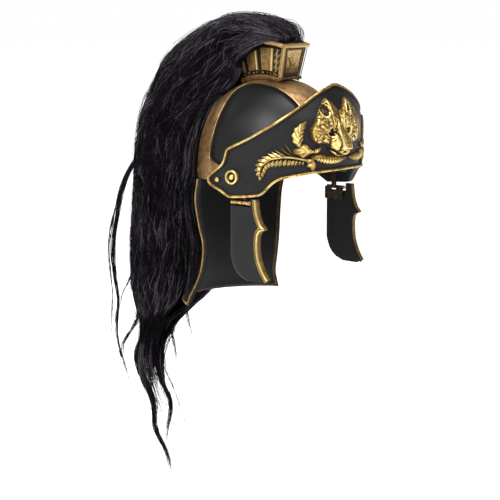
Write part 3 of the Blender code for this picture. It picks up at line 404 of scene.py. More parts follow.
def sweep(form, path, normals, profile, width, rise, loop=False, gleam=1.0, swell=1.0):
    """Adds a strip along a path. Each row of its profile holds shares of the width and the rise, a
    painted shade value and a painted highlight. Inward is to the path's left, seen from outside."""
    inward, outward, wash, shine = np.array(profile, float).T
    ahead = unit(np.roll(path, -1, 0) - path)
    if not loop:
        ahead[-1] = ahead[-2]
    behind = np.roll(ahead, 1, 0)
    if not loop:
        behind[0] = ahead[0]
    side = unit(np.cross(normals, unit(ahead + behind)))
    mitre = 1 / np.clip(np.sum(side * unit(np.cross(normals, ahead)), axis=-1), 0.6, 1)
    sections = (path[:, None] + side[:, None] * (inward * width)[None, :, None] * mitre[:, None, None]
                + normals[:, None] * (outward * rise)[None, :, None] * np.reshape(swell, (-1, 1, 1)))
    return form.loft(sections, wash, shine * gleam, loop)


def tube(form, path, radius, sides=10, wash=0.0, tone=0.0, upward=(0, 0, 1.0)):
    """Adds a round bar along a path; its radius may change along it."""
    path = np.asarray(path, float)
    radius = np.broadcast_to(np.asarray(radius, float), (len(path),))
    way = unit(np.gradient(path, axis=0))
    side = unit(np.cross(way, np.broadcast_to(np.asarray(upward, float), path.shape)))
    top, turns = np.cross(side, way), full_turn(sides)[None, :, None]
    around = side[:, None] * np.cos(turns) + top[:, None] * np.sin(turns)
    return form.loft(path[:, None] + around * radius[:, None, None], wash, tone)


def bead(form, centre, radius, normal, squash=1.0):
    """Adds a small ball."""
    normal = unit(normal)
    side = unit(np.cross(normal, [0.3, 0.2, 1.0]))
    turns = full_turn(14)[:, None]
    ring = side * np.cos(turns) + np.cross(normal, side) * np.sin(turns)
    leans = np.linspace(-0.48, 0.48, 9) * np.pi
    return form.loft([centre + radius * (ring * math.cos(lean) + normal * squash * math.sin(lean))
                      for lean in leans])


# Surfaces of the helmet

def on_bowl(points, height=0.0):
    """Points moved from the bowl's centre onto its outer face, then outwards by the height."""
    way = np.asarray(points, float) - BOWL_CENTRE
    way = way / np.linalg.norm(way / BOWL, axis=-1, keepdims=True)
    height = np.broadcast_to(np.asarray(height, float), way.shape[:-1])
    return BOWL_CENTRE + way + unit(way / BOWL**2) * height[..., None]


def bowl_normal(points):
    return unit((np.asarray(points, float) - BOWL_CENTRE) / BOWL**2)


def bowl_at(x, y):
    x, y = arrays(x, y)
    share = 1 - (x / bowl_half_width)**2 - (y / bowl_half_length)**2
    return np.stack([x, y, bowl_centre + bowl_half_height * np.sqrt(np.maximum(share, 0))], -1)


def bowl_side(y, level, side):
    """The bowl's outer face at a place along y and a height."""
    y, level = arrays(y, level)
    share = 1 - ((level - bowl_centre) / bowl_half_height)**2 - (y / bowl_half_length)**2
    return np.stack([side * bowl_half_width * np.sqrt(np.maximum(share, 0)), y, level], -1)


def bowl_rear(x, level):
    """The bowl's outer face behind, at a place across and a height."""
    x, level = arrays(x, level)
    share = 1 - ((level - bowl_centre) / bowl_half_height)**2 - (x / bowl_half_width)**2
    return np.stack([x, bowl_half_length * np.sqrt(np.maximum(share, 0)), level], -1)


def brow_face(angle, z):
    """The brow plate's outer face, at an angle from its middle and a height."""
    angle, z = arrays(angle, z)
    turn = np.radians(angle)
    share = np.maximum(0.0, (z - brow_top + brow_upright) / brow_upright)
    length = brow_half_length - brow_peak_setback * share**1.6
    width = brow_half_width - brow_peak_narrowing * share**1.9
    power = brow_squareness
    radius = (np.abs(np.sin(turn) / width)**power + np.abs(np.cos(turn) / length)**power)**(-1 / power)
    return np.stack([radius * np.sin(turn), -radius * np.cos(turn), z], -1)


def brow_normal(angle, z):
    angle, z = arrays(angle, z)
    step = 0.4
    around = brow_face(angle + step, z) - brow_face(angle - step, z)
    upward = brow_face(angle, z + step) - brow_face(angle, z - step)
    return unit(np.cross(around, upward))


def brow_point(angle, z, height=0.0):
    normal = brow_normal(angle, z)
    height = np.broadcast_to(np.asarray(height, float), normal.shape[:-1])
    return brow_face(angle, z) + normal * height[..., None]


def relief_point(across, drop, height):
    """A point over the brow plate: across along the face, drop below the peak."""
    return brow_point(np.degrees(np.asarray(across) / (brow_half_length - brow_wall)),
                      brow_top - np.asarray(drop), height)


def brow_edge(table, angle):
    """Height of the plate's edge, with its corners eased."""
    angles, shares = np.array(table).T
    leans = (-0.9, -0.4, 0, 0.4, 0.9)
    spots = [np.minimum(np.abs(np.abs(angle) + lean), angles[-1]) for lean in leans]
    return brow_top - brow_height * sum(np.interp(spot, angles, shares) for spot in spots) / len(leans)


def neck_face(turn, share):
    """The neck guard's outer face: turn from -1 to 1 across it, share of its drop."""
    turn, share = arrays(turn, share)
    knots = np.array(NECK_ROWS)
    spots = [np.clip(share + lean, 0, 1) for lean in (-0.05, 0, 0.05)]
    eased = [sum(np.interp(spot, knots[:, 0], knots[:, k]) for spot in spots) / 3 for k in (1, 2, 3)]
    edge_x = eased[0] * bowl_half_width
    edge_y, back = eased[1] * bowl_half_length, eased[2] * bowl_half_length
    half = edge_x / np.sqrt(1 - (edge_y / back)**2)
    angle = turn * np.arccos(edge_y / back)
    return np.stack([half * np.sin(angle), back * np.cos(angle), rim_z - seat_gap - neck_drop * share], -1)


def neck_normal(turn, share):
    step = 0.02
    across = neck_face(turn - step, share) - neck_face(turn + step, share)
    upward = neck_face(turn, share - step) - neck_face(turn, share + step)
    return unit(np.cross(across, upward))


def cheek_point(drop_share, along, side, height=0.0):
    """The cheek guard's middle face: shares of its drop and of its depth, and a height over it."""
    drop_share, along, height = arrays(drop_share, along, height)
    x = hinge_x - cheek_toe_in * (along**2 - 0.18) + height
    return np.stack([side * x, -cheek_rear - along * cheek_depth, hinge_z - drop_share * cheek_drop], -1)


def crest_place(x, angle, height):
    """A point over the midline band: angle about the bowl's centre, height above the band."""
    x, angle, height = arrays(x, angle, height)
    turn = np.radians(angle)
    spread = ((np.sin(turn) / bowl_half_length)**2 + (np.cos(turn) / bowl_half_height)**2)**-0.5
    flat = np.clip(height / 0.6, 0, 1)
    curve = np.sqrt(np.maximum(1 - (x / bowl_half_width)**2, 0))
    radius = spread * (flat + (1 - flat) * curve) + 2 * seat_gap + band_rise + np.maximum(height, 0)
    return np.stack([x, radius * np.sin(turn), bowl_centre + radius * np.cos(turn)], -1)


# Materials

def fill(tree, node, values):
    """Sets a node's sockets; a socket as a value is linked."""
    for key, value in values.items():
        if isinstance(value, bpy.types.NodeSocket):
            tree.links.new(value, node.inputs[key])
        else:
            node.inputs[key].default_value = value


def add(tree, kind, values=None, **settings):
    """A node with its settings, then its sockets."""
    made = tree.nodes.new(kind)
    for key, value in settings.items():
        setattr(made, key, value)
    fill(tree, made, values or {})
    return made


def start_material(name):
    """A material, its nodes, its shader and the place in the piece's own coordinates."""
    material = bpy.data.materials.new(name)
    material.use_nodes = True
    tree = material.node_tree
    place = add(tree, "ShaderNodeTexCoord").outputs["Object"]
    return material, tree, tree.nodes["Principled BSDF"], place


def noise(tree, place, size, detail=3.0, stretch=(1, 1, 1)):
    """Noise with features of about that size in millimetres."""
    scaled = add(tree, "ShaderNodeMapping", {"Vector": place, "Scale": stretch}).outputs[0]
    values = {"Vector": scaled, "Scale": 1 / (size * MM), "Detail": detail, "Roughness": 0.55}
    return add(tree, "ShaderNodeTexNoise", values).outputs["Fac"]


def ramp(tree, factor, stops):
    made = add(tree, "ShaderNodeValToRGB", {"Fac": factor})
    band = made.color_ramp
    while len(band.elements) < len(stops):
        band.elements.new(0.5)
    for element, (at, colour) in zip(band.elements, stops):
        element.position = at
        element.color = (*colour, 1) if isinstance(colour, tuple) else (colour, colour, colour, 1)
    return made.outputs["Color"]


def mix(tree, factor, first, second):
    first, second = [(*value, 1) if isinstance(value, tuple) else value for value in (first, second)]
    return add(tree, "ShaderNodeMix", {0: factor, 6: first, 7: second}, data_type="RGBA").outputs[2]


def maths(tree, operation, first, second=0.0, third=0.0, clamp=False):
    values = {0: first, 1: second, 2: third}
    return add(tree, "ShaderNodeMath", values, operation=operation, use_clamp=clamp).outputs[0]


def attribute(tree, label):
    return add(tree, "ShaderNodeAttribute", attribute_name=label).outputs["Fac"]


def bump(tree, height, distance, strength):
    values = {"Height": height, "Distance": distance * MM, "Strength": strength}
    return add(tree, "ShaderNodeBump", values).outputs["Normal"]


def gold_material(name, light, middle, dark, wear_and_highlight_colour, stretch=(1, 1, 1), antique_and_shade_colour=(0.014, 0.009, 0.006),
                  metallic=0.96):
    """Painted metal: pale where it is worn and where highlights are painted; darkened by an attribute
    where shade is painted and in its antiqued recesses.
    """
    material, tree, shader, place = start_material(name)
    patches, specks = noise(tree, place, 1.5, 4.0), noise(tree, place, 0.30, 2.0)
    # The tone attribute paints highlights and wear in the pale colour; the darkening attribute paints shade
    # and dark antiquing.
    wear_and_highlight = maths(tree, "MULTIPLY", attribute(tree, "tone"), maths(tree, "ADD", specks, 0.45), clamp=True)
    recess = maths(tree, "MULTIPLY", attribute(tree, "wash"), maths(tree, "ADD", specks, 0.62), clamp=True)
    base = ramp(tree, patches, [(0.30, dark), (0.50, middle), (0.72, light)])
    for share, colour in ((ramp(tree, specks, [(0.36, 0.55), (0.50, 0.0)]), tuple(0.4 * c for c in middle)),
                          (ramp(tree, specks, [(0.60, 0.0), (0.72, 0.6)]), wear_and_highlight_colour),
                          (wear_and_highlight, wear_and_highlight_colour), (recess, antique_and_shade_colour)):
        base = mix(tree, share, base, colour)
    rough = mix(tree, recess, ramp(tree, specks, [(0.3, 0.30), (0.7, 0.42)]), (0.65, 0.65, 0.65))
    fine, coarse = noise(tree, place, 0.15, 2.0, stretch), noise(tree, place, 0.7, 3.0)
    height = maths(tree, "MULTIPLY_ADD", coarse, 1.6, fine)
    fill(tree, shader, {"Base Color": base, "Roughness": rough, "Specular IOR Level": 0.25,
                        "Metallic": maths(tree, "MULTIPLY_ADD", recess, -0.8 * metallic, metallic),
                        "Normal": bump(tree, height, 0.04, 0.8)})
    return material


def black_material():
    """Satin black paint with faint clouds, fine grain and pale specks of wear; inner faces are darkened
    with painted shade and made duller.
    """
    material, tree, shader, place = start_material("satin_black")
    clouds, specks = noise(tree, place, 7.0, 4.0), noise(tree, place, 0.3, 3.0)
    # Painted shade on inner faces, read from the darkening attribute.
    inside = attribute(tree, "wash")
    base = ramp(tree, clouds, [(0.30, (0.0055, 0.0055, 0.006)), (0.70, (0.010, 0.010, 0.0105))])
    base = mix(tree, ramp(tree, specks, [(0.64, 0.0), (0.76, 0.4)]), base, (0.040, 0.038, 0.036))
    rough = mix(tree, inside, ramp(tree, clouds, [(0.3, 0.38), (0.7, 0.52)]), (0.85, 0.85, 0.85))
    grain, dents = noise(tree, place, 0.22, 4.0), noise(tree, place, 2.4, 2.0)
    height = maths(tree, "MULTIPLY_ADD", dents, 3.0, grain)
    fill(tree, shader, {"Base Color": mix(tree, inside, base, (0.0016, 0.0016, 0.0018)),
                        "Roughness": rough, "Specular IOR Level": 0.24,
                        "Normal": bump(tree, height, 0.02, 0.6)})
    return material


def hair_material(name, dark, light, roughness, gloss):
    """Black fibre: each strand has its own tone, whose light end is a painted sheen, with fine breaks
    along it.
    """
    material, tree, shader, place = start_material(name)
    tone = attribute(tree, "tone")
    breaks = ramp(tree, noise(tree, place, 1.2, 3.0, (1, 1, 0.25)), [(0.35, 0.6), (0.65, 0.0)])
    base = mix(tree, breaks, mix(tree, tone, dark, light), (0.003, 0.0027, 0.003))
    grain = noise(tree, place, 0.12, 2.0, (1, 1, 0.3))
    fill(tree, shader, {"Base Color": base, "Specular IOR Level": gloss,
                        "Roughness": ramp(tree, tone, [(0.0, roughness + 0.16), (1.0, roughness)]),
                        "Normal": bump(tree, grain, 0.02, 0.5)})
    return material


def hinge_material():
    """Dark straps and worn gold knuckles, told apart by their distance from the hinge's axis."""
    material, tree, shader, place = start_material("hinge_metal")
    parts = add(tree, "ShaderNodeSeparateXYZ", {0: place}).outputs
    off_x = maths(tree, "SUBTRACT", maths(tree, "ABSOLUTE", parts["X"]), hinge_x * MM)
    off_z = maths(tree, "SUBTRACT", parts["Z"], hinge_z * MM)
    squares = [maths(tree, "POWER", off, 2.0) for off in (off_x, off_z)]
    away = maths(tree, "SQRT", maths(tree, "ADD", *squares))
    knuckle = maths(tree, "LESS_THAN", away, 1.06 * knuckle_radius * MM)
    wear = noise(tree, place, 0.5, 3.0)
    golds = [(0.3, (0.45, 0.27, 0.08)), (0.5, (0.75, 0.50, 0.17)), (0.7, (0.95, 0.78, 0.40))]
    bright = ramp(tree, wear, golds)
    dull = ramp(tree, wear, [(0.45, (0.012, 0.009, 0.007)), (0.75, (0.10, 0.06, 0.025))])
    fill(tree, shader, {"Base Color": mix(tree, knuckle, dull, bright), "Specular IOR Level": 0.25,
                        "Metallic": mix(tree, knuckle, (0.2, 0.2, 0.2), (0.95, 0.95, 0.95)),
                        "Roughness": ramp(tree, wear, [(0.3, 0.50), (0.7, 0.34)]),
                        "Normal": bump(tree, wear, 0.03, 0.6)})
    return material


def pin_material():
    material, tree, shader, place = start_material("dark_steel")
    wear = noise(tree, place, 0.3, 3.0)
    colour = ramp(tree, wear, [(0.3, (0.10, 0.09, 0.08)), (0.7, (0.32, 0.29, 0.25))])
    fill(tree, shader, {"Base Color": colour, "Metallic": 1.0,
                        "Roughness": ramp(tree, wear, [(0.3, 0.55), (0.7, 0.35)]),
                        "Normal": bump(tree, wear, 0.01, 0.5)})
    return material


def floor_material():
    material, tree, shader, place = start_material("pale_floor")
    tint = ramp(tree, noise(tree, place, 60.0, 2.0), [(0.3, 0.80), (0.7, 0.84)])
    fill(tree, shader, {"Base Color": tint, "Roughness": 0.9, "Specular IOR Level": 0.1,
                        "Emission Color": (1, 1, 1, 1), "Emission Strength": 1.0})
    return material


# Camera, light and floor, in metres

CAMERA_PLACE, CAMERA_TARGET = Vector((-0.31888, -0.26152, 0.03241)), Vector((0, 0.007, -0.0393))
CAMERA_LENS = 129.6
LIGHT_TARGET = Vector((0, 0.005, -0.03))
# Soft square lights: azimuth and elevation in degrees, distance, size and brightness
LIGHTS = {"key": (-80, 50, 0.5, 0.20, 22.0), "front": (-12, 34, 0.6, 0.20, 9.0),
          "top": (60, 78, 0.5, 0.24, 9.0), "rim": (160, 25, 0.6, 0.24, 7.0)}
SKY_STOPS = [(0.0, 0.9), (0.50, 1.0), (0.55, 0.45), (0.62, 0.22), (1.0, 0.15)]
FLOOR_RADIUS, FLOOR_LEVEL = 3.0, -0.16


def make_camera():
    data = bpy.data.cameras.new("camera")
    data.sensor_width = 36
    data.lens = CAMERA_LENS
    data.clip_start = 0.001
    camera = new_object("camera", data)
    camera.location = CAMERA_PLACE
    camera.rotation_euler = (CAMERA_TARGET - CAMERA_PLACE).to_track_quat("-Z", "Y").to_euler()
    bpy.context.scene.camera = camera


def make_light(name, azimuth, elevation, distance, size, strength):
    data = bpy.data.lights.new(name, "AREA")
    data.shape = "SQUARE"
    data.size = size
    data.energy = strength * math.pi * size**2
    lamp = new_object(name, data)
    turn, lift = math.radians(azimuth), math.radians(elevation)
    back = Vector((math.sin(turn) * math.cos(lift), -math.cos(turn) * math.cos(lift), math.sin(lift)))
    lamp.location = LIGHT_TARGET + back * distance
    lamp.rotation_euler = (-back).to_track_quat("-Z", "Y").to_euler()


def make_world():
    world = bpy.data.worlds.new("studio")
    bpy.context.scene.world = world
    world.use_nodes = True
    tree = world.node_tree
    way = add(tree, "ShaderNodeTexCoord").outputs["Generated"]
    rise = add(tree, "ShaderNodeSeparateXYZ", {0: way}).outputs["Z"]
    sky = ramp(tree, maths(tree, "MULTIPLY_ADD", rise, 0.5, 0.5), SKY_STOPS)
    fill(tree, tree.nodes["Background"], {"Color": sky, "Strength": 1.0})
    bpy.context.scene.view_settings.view_transform = "Standard"


def make_stage():
    make_world()
    turns = full_turn(64)
    ring = FLOOR_RADIUS * np.stack([np.cos(turns), np.sin(turns), 0 * turns], -1) + [0, 0, FLOOR_LEVEL]
    mesh = bpy.data.meshes.new("floor")
    mesh.from_pydata(ring.tolist(), [], [list(range(len(ring)))])
    mesh.materials.append(floor_material())
    floor = new_object("floor", mesh)
    for name, settings in LIGHTS.items():
        make_light(name, *settings)


# Bowl and bands

def make_bowl():
    around = full_turn(120)
    rings = []
    for wall, shares in ((0.0, np.linspace(0.01, 1, 36)), (bowl_wall, np.linspace(1, 0.01, 20))):
        halves = BOWL - wall
        way = np.stack([halves[0] * np.cos(around), halves[1] * np.sin(around)], -1)
        away = np.abs(np.degrees(np.arctan2(way[:, 0], -way[:, 1])))
        under_plate = np.maximum(rim_z, brow_edge(BROW_LOWER, away) + rim_tuck)
        rim = np.where(away > BROW_LOWER[-1][0], rim_z, under_plate)
        turn = np.arccos((rim - bowl_centre) / halves[2])
        for share in shares:
            ring = way * np.sin(turn * share)[:, None]
            rings.append(np.column_stack([ring, bowl_centre + halves[2] * np.cos(turn * share)]))
    Form().loft(rings).make("dome", black, "black_satin", "helmet", ["bowl"])


def rim_levels(y):
    """Heights of the rim band's upper edge, its line behind, and the rim."""
    top = rim_band_top - rim_band_fall * np.maximum(0.0, cross_front - np.asarray(y, float))
    return [top, np.full_like(top, rim_z + rear_rim_height), np.full_like(top, rim_z)]


def rim_arc(first, last, level, count):
    """Points on the bowl at one level, from one place to another around its back."""
    share = math.sqrt(1 - ((level - bowl_centre) / bowl_half_height)**2)
    half_x, half_y = bowl_half_width * share, bowl_half_length * share
    turns = np.linspace(*[math.atan2(p[1] / half_y, p[0] / half_x) for p in (first, last)], count)
    return np.stack([half_x * np.cos(turns), half_y * np.sin(turns), np.full(count, level)], -1)


def band_back(x):
    """A column of the midline band behind the cross band, down to the rim."""
    half = math.sqrt(1 - (x / bowl_half_width)**2)
    start = math.asin(cross_back / (bowl_half_length * half))
    end = math.acos((rim_band_top - bowl_centre) / (bowl_half_height * half))
    strip = bowl_at(x, bowl_half_length * half * np.sin(np.linspace(start, end, 40)))
    strip[0], strip[-1] = bowl_at(x, cross_back), bowl_rear(x, rim_band_top)
    below = bowl_rear(x, np.linspace(rim_band_top, rim_z + rear_rim_height, 9)[1:])
    return np.vstack([strip, below, bowl_rear(x, rim_z)])


def cross_arm(y, side):
    """A column of the cross band on one side, down to the rim."""
    half = math.sqrt(1 - (y / bowl_half_length)**2)
    start = math.asin(midline_half_width / (bowl_half_width * half))
    end = math.acos((rim_band_top - bowl_centre) / (bowl_half_height * half))
    strip = bowl_at(side * bowl_half_width * half * np.sin(np.linspace(start, end, 44)), y)
    strip[0], strip[-1] = bowl_at(side * midline_half_width, y), bowl_side(y, rim_band_top, side)
    return np.vstack([strip, bowl_side(y, [rim_z + rear_rim_height, rim_z], side)])


def band_grids():
    """Grids of the bands over the bowl, which share their edge points."""
    columns = np.linspace(-midline_half_width, midline_half_width, 21)
    front = np.linspace(-front_band_reach, cross_front, 44)
    cross = np.linspace(cross_front, cross_back, 11)
    fore = np.linspace(cross_front, cross_front - rim_band_reach, 24)
    grids = [bowl_at(columns[None, :], np.concatenate([front, cross[1:]])[:, None]),
             np.array([band_back(x) for x in columns]).transpose(1, 0, 2)]
    for side in (-1, 1):
        grids.append(np.array([cross_arm(y, side) for y in cross]))
        grids.append(np.stack([bowl_side(fore, level, side) for level in rim_levels(fore)], 1))
        rear = []
        for level in (rim_z + rear_rim_height, rim_z):
            first, last = bowl_side(cross_back, level, side), bowl_rear(side * midline_half_width, level)
            rear.append(np.vstack([first, rim_arc(first, last, level, 24)[1:-1], last]))
        grids.append(np.array(rear))
    return grids


def front_panel_edge(side):
    """The edge of the front black panel on one side, open at its front."""
    x = side * midline_half_width
    along = bowl_at(x, np.linspace(-front_band_reach, cross_front, 90))
    across = np.linspace(midline_half_width, bowl_side(cross_front, rim_band_top, 1)[0], 90)
    down = bowl_at(side * across, cross_front)
    fore = np.linspace(cross_front, cross_front - rim_band_reach, 40)
    rim = bowl_side(fore, rim_levels(fore)[0], side)
    path = round_corner(np.vstack([along, down[1:], rim[1:]]), bowl_at(x, cross_front), panel_corner)
    return round_corner(path, bowl_side(cross_front, rim_band_top, side), 1.0)


def rear_panel_edge(side):
    """The edge of the rear black panel on one side, a closed loop."""
    x, level, joint = side * midline_half_width, rim_z + rear_rim_height, 0.85 * rim_z
    low = bowl_side(cross_back, np.linspace(level, joint, 12), side)
    across = np.linspace(bowl_side(cross_back, joint, 1)[0], midline_half_width, 90)
    up = np.vstack([low, bowl_at(side * across, cross_back)[1:]])
    half = math.sqrt(1 - (x / bowl_half_width)**2)
    start = math.asin(cross_back / (bowl_half_length * half))
    back = bowl_at(x, bowl_half_length * half * np.sin(np.linspace(start, 1.5, 60)))
    back = np.vstack([back, bowl_rear(x, np.linspace(back[-1][2], level, 12))])
    foot = rim_arc(back[-1], low[0], level, 40)
    path = round_corner(np.vstack([up, back[1:], foot[1:-1]]), bowl_at(x, cross_back), panel_corner)
    return round_corner(path, back[-1], 1.2)


def fill_corner(form, arc, corner):
    """Adds the web between the arc of a rounded corner and the corner itself."""
    hidden = corner + unit(corner - arc.mean(0)) * 0.6
    fan = np.array([hidden + (arc - hidden) * share for share in np.linspace(0.06, 1.0, 8)])
    form.shell(on_bowl(fan, seat_gap + band_rise - 0.03), on_bowl(fan, sunk))


def bead_profile(inward):
    """The round line along a band's edge, on one side of its path."""
    turns = np.linspace(0, np.pi, 9)
    rounded = np.column_stack([0.5 - 0.5 * np.cos(turns), 0.15 + 0.85 * np.sin(turns)])
    outline = np.vstack([[0, -3.4], [0, -0.25], rounded, [1, -0.25], [1, -3.4]]) * [inward, 1]
    # Painted shade on the bead's walls; its crown stays bright.
    shade = [1.0, 1.0, 0.5, 0.1, 0, 0, 0, 0, 0, 0.1, 0.5, 1.0, 1.0]
    return np.column_stack([outline, shade, np.ones(len(shade))])


def make_bands():
    form, lines = Form(), Form()
    form.skin(band_grids(), sunk, seat_gap + band_rise)
    for side in (-1, 1):
        for route, loop, corner_y in ((front_panel_edge(side), False, cross_front),
                                      (rear_panel_edge(side), True, cross_back)):
            path = on_bowl(relax(resample(route, spacing=0.32, loop=loop), 2, loop))
            profile = bead_profile(1 if (side > 0) == loop else -1)
            # Strength of the bead's painted highlight: uneven at random, and brighter towards the front.
            wear_and_highlight = 0.05 + 0.45 * value_noise(path, 2.0, 8) + 0.8 * smooth_step(-8, -13, path[:, 1])
            sweep(lines, on_bowl(path, seat_gap + band_rise), bowl_normal(path), profile, panel_bead_width,
                  panel_bead_rise, loop, np.clip(wear_and_highlight, 0, 1)[:, None])
            corner = bowl_at(side * midline_half_width, corner_y)
            fill_corner(form, path[np.linalg.norm(path - corner, axis=1) < 1.3 * panel_corner], corner)
    form.make("bands", bronze, "dull_gold", "helmet", ["crown_bands"], 45)
    lines.make("band_beads", bead_gold, "dull_gold", "helmet", (), 50)


# Brow plate and its edging

# Profiles of the gold strips: shares of the width and the rise, painted shade (walls, lower side) and painted
# highlight (crown)
BROW_PROFILE = [(0, -0.55, 1.0, 0), (0, 0.35, 0.55, 0), (0.04, 0.66, 0.15, 0.3), (0.13, 0.88, 0, 0.6),
                (0.28, 1.0, 0, 0.9), (0.44, 1.0, 0, 0.8), (0.60, 0.86, 0.1, 0.3), (0.72, 0.58, 0.45, 0),
                (0.80, 0.26, 1.0, 0), (0.86, 0.10, 1.0, 0), (1.0, 0.04, 1.0, 0), (1.0, -0.55, 1.0, 0)]
NECK_PROFILE = [(0, -0.55, 0.6, 0), (0, 0.4, 0.1, 0), (0.05, 0.7, 0, 0.2), (0.2, 0.97, 0, 0.4),
                (0.4, 1.0, 0, 0.3), (0.6, 0.85, 0.1, 0.1), (0.74, 0.5, 0.6, 0), (0.82, 0.2, 1.0, 0),
                (1.0, 0.04, 1.0, 0), (1.0, -0.55, 1.0, 0)]
trim_wrap = -(cheek_wall + seat_gap) / trim_rise
TRIM_PROFILE = [(-0.10, trim_wrap, 0.6, 0), (-0.10, 0.2, 0.5, 0), (0.0, 0.6, 0.2, 0.5), (0.06, 0.82, 0, 0.6),
                (0.14, 0.97, 0, 0.5), (0.26, 1.0, 0, 0.3), (0.36, 0.86, 0, 0), (0.43, 0.55, 0.4, 0),
                (0.47, 0.34, 0.95, 0), (0.52, 0.34, 0.95, 0), (0.60, 0.55, 0.4, 0), (0.72, 0.66, 0.15, 0.15),
                (0.84, 0.58, 0.3, 0), (0.93, 0.30, 0.9, 0), (1.0, 0.08, 1.0, 0), (1.0, -0.45, 1.0, 0),
                (0.0, -0.45, 1.0, 0), (0.0, trim_wrap, 1.0, 0)]


def brow_route(angles, low, high):
    """Places (angle, height) spread evenly along the plate's closed edge."""
    route = np.vstack([np.column_stack([angles[::-1], high[::-1]]), np.column_stack([angles, low])])
    closed = np.vstack([route, route[:1]])
    lengths = lengths_along(brow_point(closed[:, 0], closed[:, 1]))
    marks = np.linspace(0, lengths[-1], int(lengths[-1] / 0.26), endpoint=False)
    return relax(np.stack([np.interp(marks, lengths, closed[:, k]) for k in (0, 1)], -1), 4, True)


def make_brow():
    reach = BROW_LOWER[-1][0]
    angles = np.linspace(-reach, reach, 260)
    low, high = brow_edge(BROW_LOWER, angles), brow_edge(BROW_UPPER, angles)
    z = low + (high - low) * np.linspace(0, 1, 18)[:, None]
    form = Form().shell(brow_point(angles[None, :], z), brow_point(angles[None, :], z, -brow_wall))
    form.make("brow_shell", black, "black_satin", "helmet", ["brow_plate"])
    route = brow_route(angles, low, high)
    angle, level = route.T
    wobble = 1 + 0.12 * value_noise(route, 7.0, 5) + 0.08 * value_noise(route, 2.2, 6)
    # Strength of the edging's painted highlight, uneven at random.
    wear_and_highlight = 0.35 + 0.50 * value_noise(route, 5.0, 7) + 0.45 * value_noise(route, 1.4, 9)
    form = Form()
    sweep(form, brow_point(angle, level, seat_gap), brow_normal(angle, level), BROW_PROFILE, edging_width,
          edging_rise, True, np.clip(wear_and_highlight, 0, 1)[:, None], wobble)
    form.make("brow_border", gold, "antique_gold", "helmet", ["brow_edging"], 60)


# Animal head

def dome(u, d, centre_u, centre_d, half_u, half_d, height, turn, power):
    """A rounded lump at a place on the head, turned by some degrees."""
    c, s = math.cos(math.radians(turn)), math.sin(math.radians(turn))
    a, b = (u - centre_u) * c + (d - centre_d) * s, -(u - centre_u) * s + (d - centre_d) * c
    return height * np.maximum(0.0, 1 - (a / half_u)**2 - (b / half_d)**2)**power


def ridge(u, d, start, end, half_width, height, taper=1.0):
    """A rounded bar between two places on the head."""
    start, end = np.array(start, float), np.array(end, float)
    way = end - start
    share = np.clip(((u - start[0]) * way[0] + (d - start[1]) * way[1]) / (way @ way), 0, 1)
    away = np.hypot(u - start[0] - way[0] * share, d - start[1] - way[1] * share)
    reach = half_width * (1 + (taper - 1) * share)
    return height * np.maximum(0.0, 1 - (away / reach)**2)**0.8


# Lumps of the face: place beside and below its middle, half width, half height, rise, turn, power
HEAD_LUMPS = [(3.7, 2.7, 2.5, 3.1, 1.10, 12, 0.8), (2.7, 4.8, 2.7, 2.5, 1.30, 10, 0.7),
              (1.4, 5.4, 1.4, 2.4, 1.0, 8, 0.6), (5.3, 5.0, 2.1, 2.0, 1.15, 20, 0.8),
              (4.0, 6.3, 2.6, 1.6, 1.40, -12, 0.6), (6.3, 7.5, 2.3, 2.6, 1.45, -8, 0.45),
              (4.4, 8.2, 2.3, 1.9, 1.30, -20, 0.6), (1.75, 9.4, 1.5, 2.3, 2.35, 16, 0.6),
              (2.2, 11.5, 1.5, 1.4, 1.15, 35, 0.6), (0.2, 12.0, 2.6, 1.0, 1.0, 0, 0.6)]
# Rims of the ear: start, end, half width, rise
EAR_RIMS = [((3.2, 0.9), (4.9, 1.9), 0.24, 1.25), ((4.8, 1.7), (5.9, 3.4), 0.26, 1.20),
            ((3.1, 1.0), (2.5, 3.4), 0.24, 1.45)]


def head_bridge(across, d):
    """The bridge of the nose, which leans and widens downwards."""
    lean = -1.35 + 0.95 * smooth_step(4.0, 11.0, d)
    v = np.abs(across - lean)
    flat = 1.15 + 1.75 * smooth_step(4.5, 10.8, d)
    half = 0.50 + 0.60 * smooth_step(4.5, 9.5, d)
    bridge = (flat + 0.10 * np.cos(np.clip(v / half, 0, 1) * 1.5)) * (1 - smooth_step(half, half + 0.35, v))
    return bridge * smooth_step(4.0, 5.6, d) * (1 - smooth_step(10.9, 11.5, d))


def head_hollows(across, u, d):
    """Ear, eye socket, brow, mouth and nostrils, and the share of the height that each takes away."""
    return [(dome(u, d, 4.05, 2.55, 1.00, 1.35, 1.0, 20, 0.35), 1.0),
            (dome(u, d, 2.70, 7.10, 0.85, 0.95, 1.0, 30, 0.45), 0.95),
            (ridge(u, d, (1.35, 4.9), (1.75, 6.4), 0.24, 1.0), 0.70),
            (ridge(u, d, (0.0, 2.3), (0.0, 5.2), 0.50, 1.0, 0.5), 0.88),
            (ridge(u, d, (0.75, 11.95), (3.1, 10.75), 0.30, 1.0), 0.80),
            (ridge(u, d, (0.3, 12.25), (1.4, 12.0), 0.22, 1.0), 0.7),
            (dome(across, d, 0.25, 11.6, 0.34, 0.28, 1.0, 20, 0.5), 0.7),
            (dome(across, d, -0.85, 11.6, 0.34, 0.28, 1.0, -20, 0.5), 0.7)]


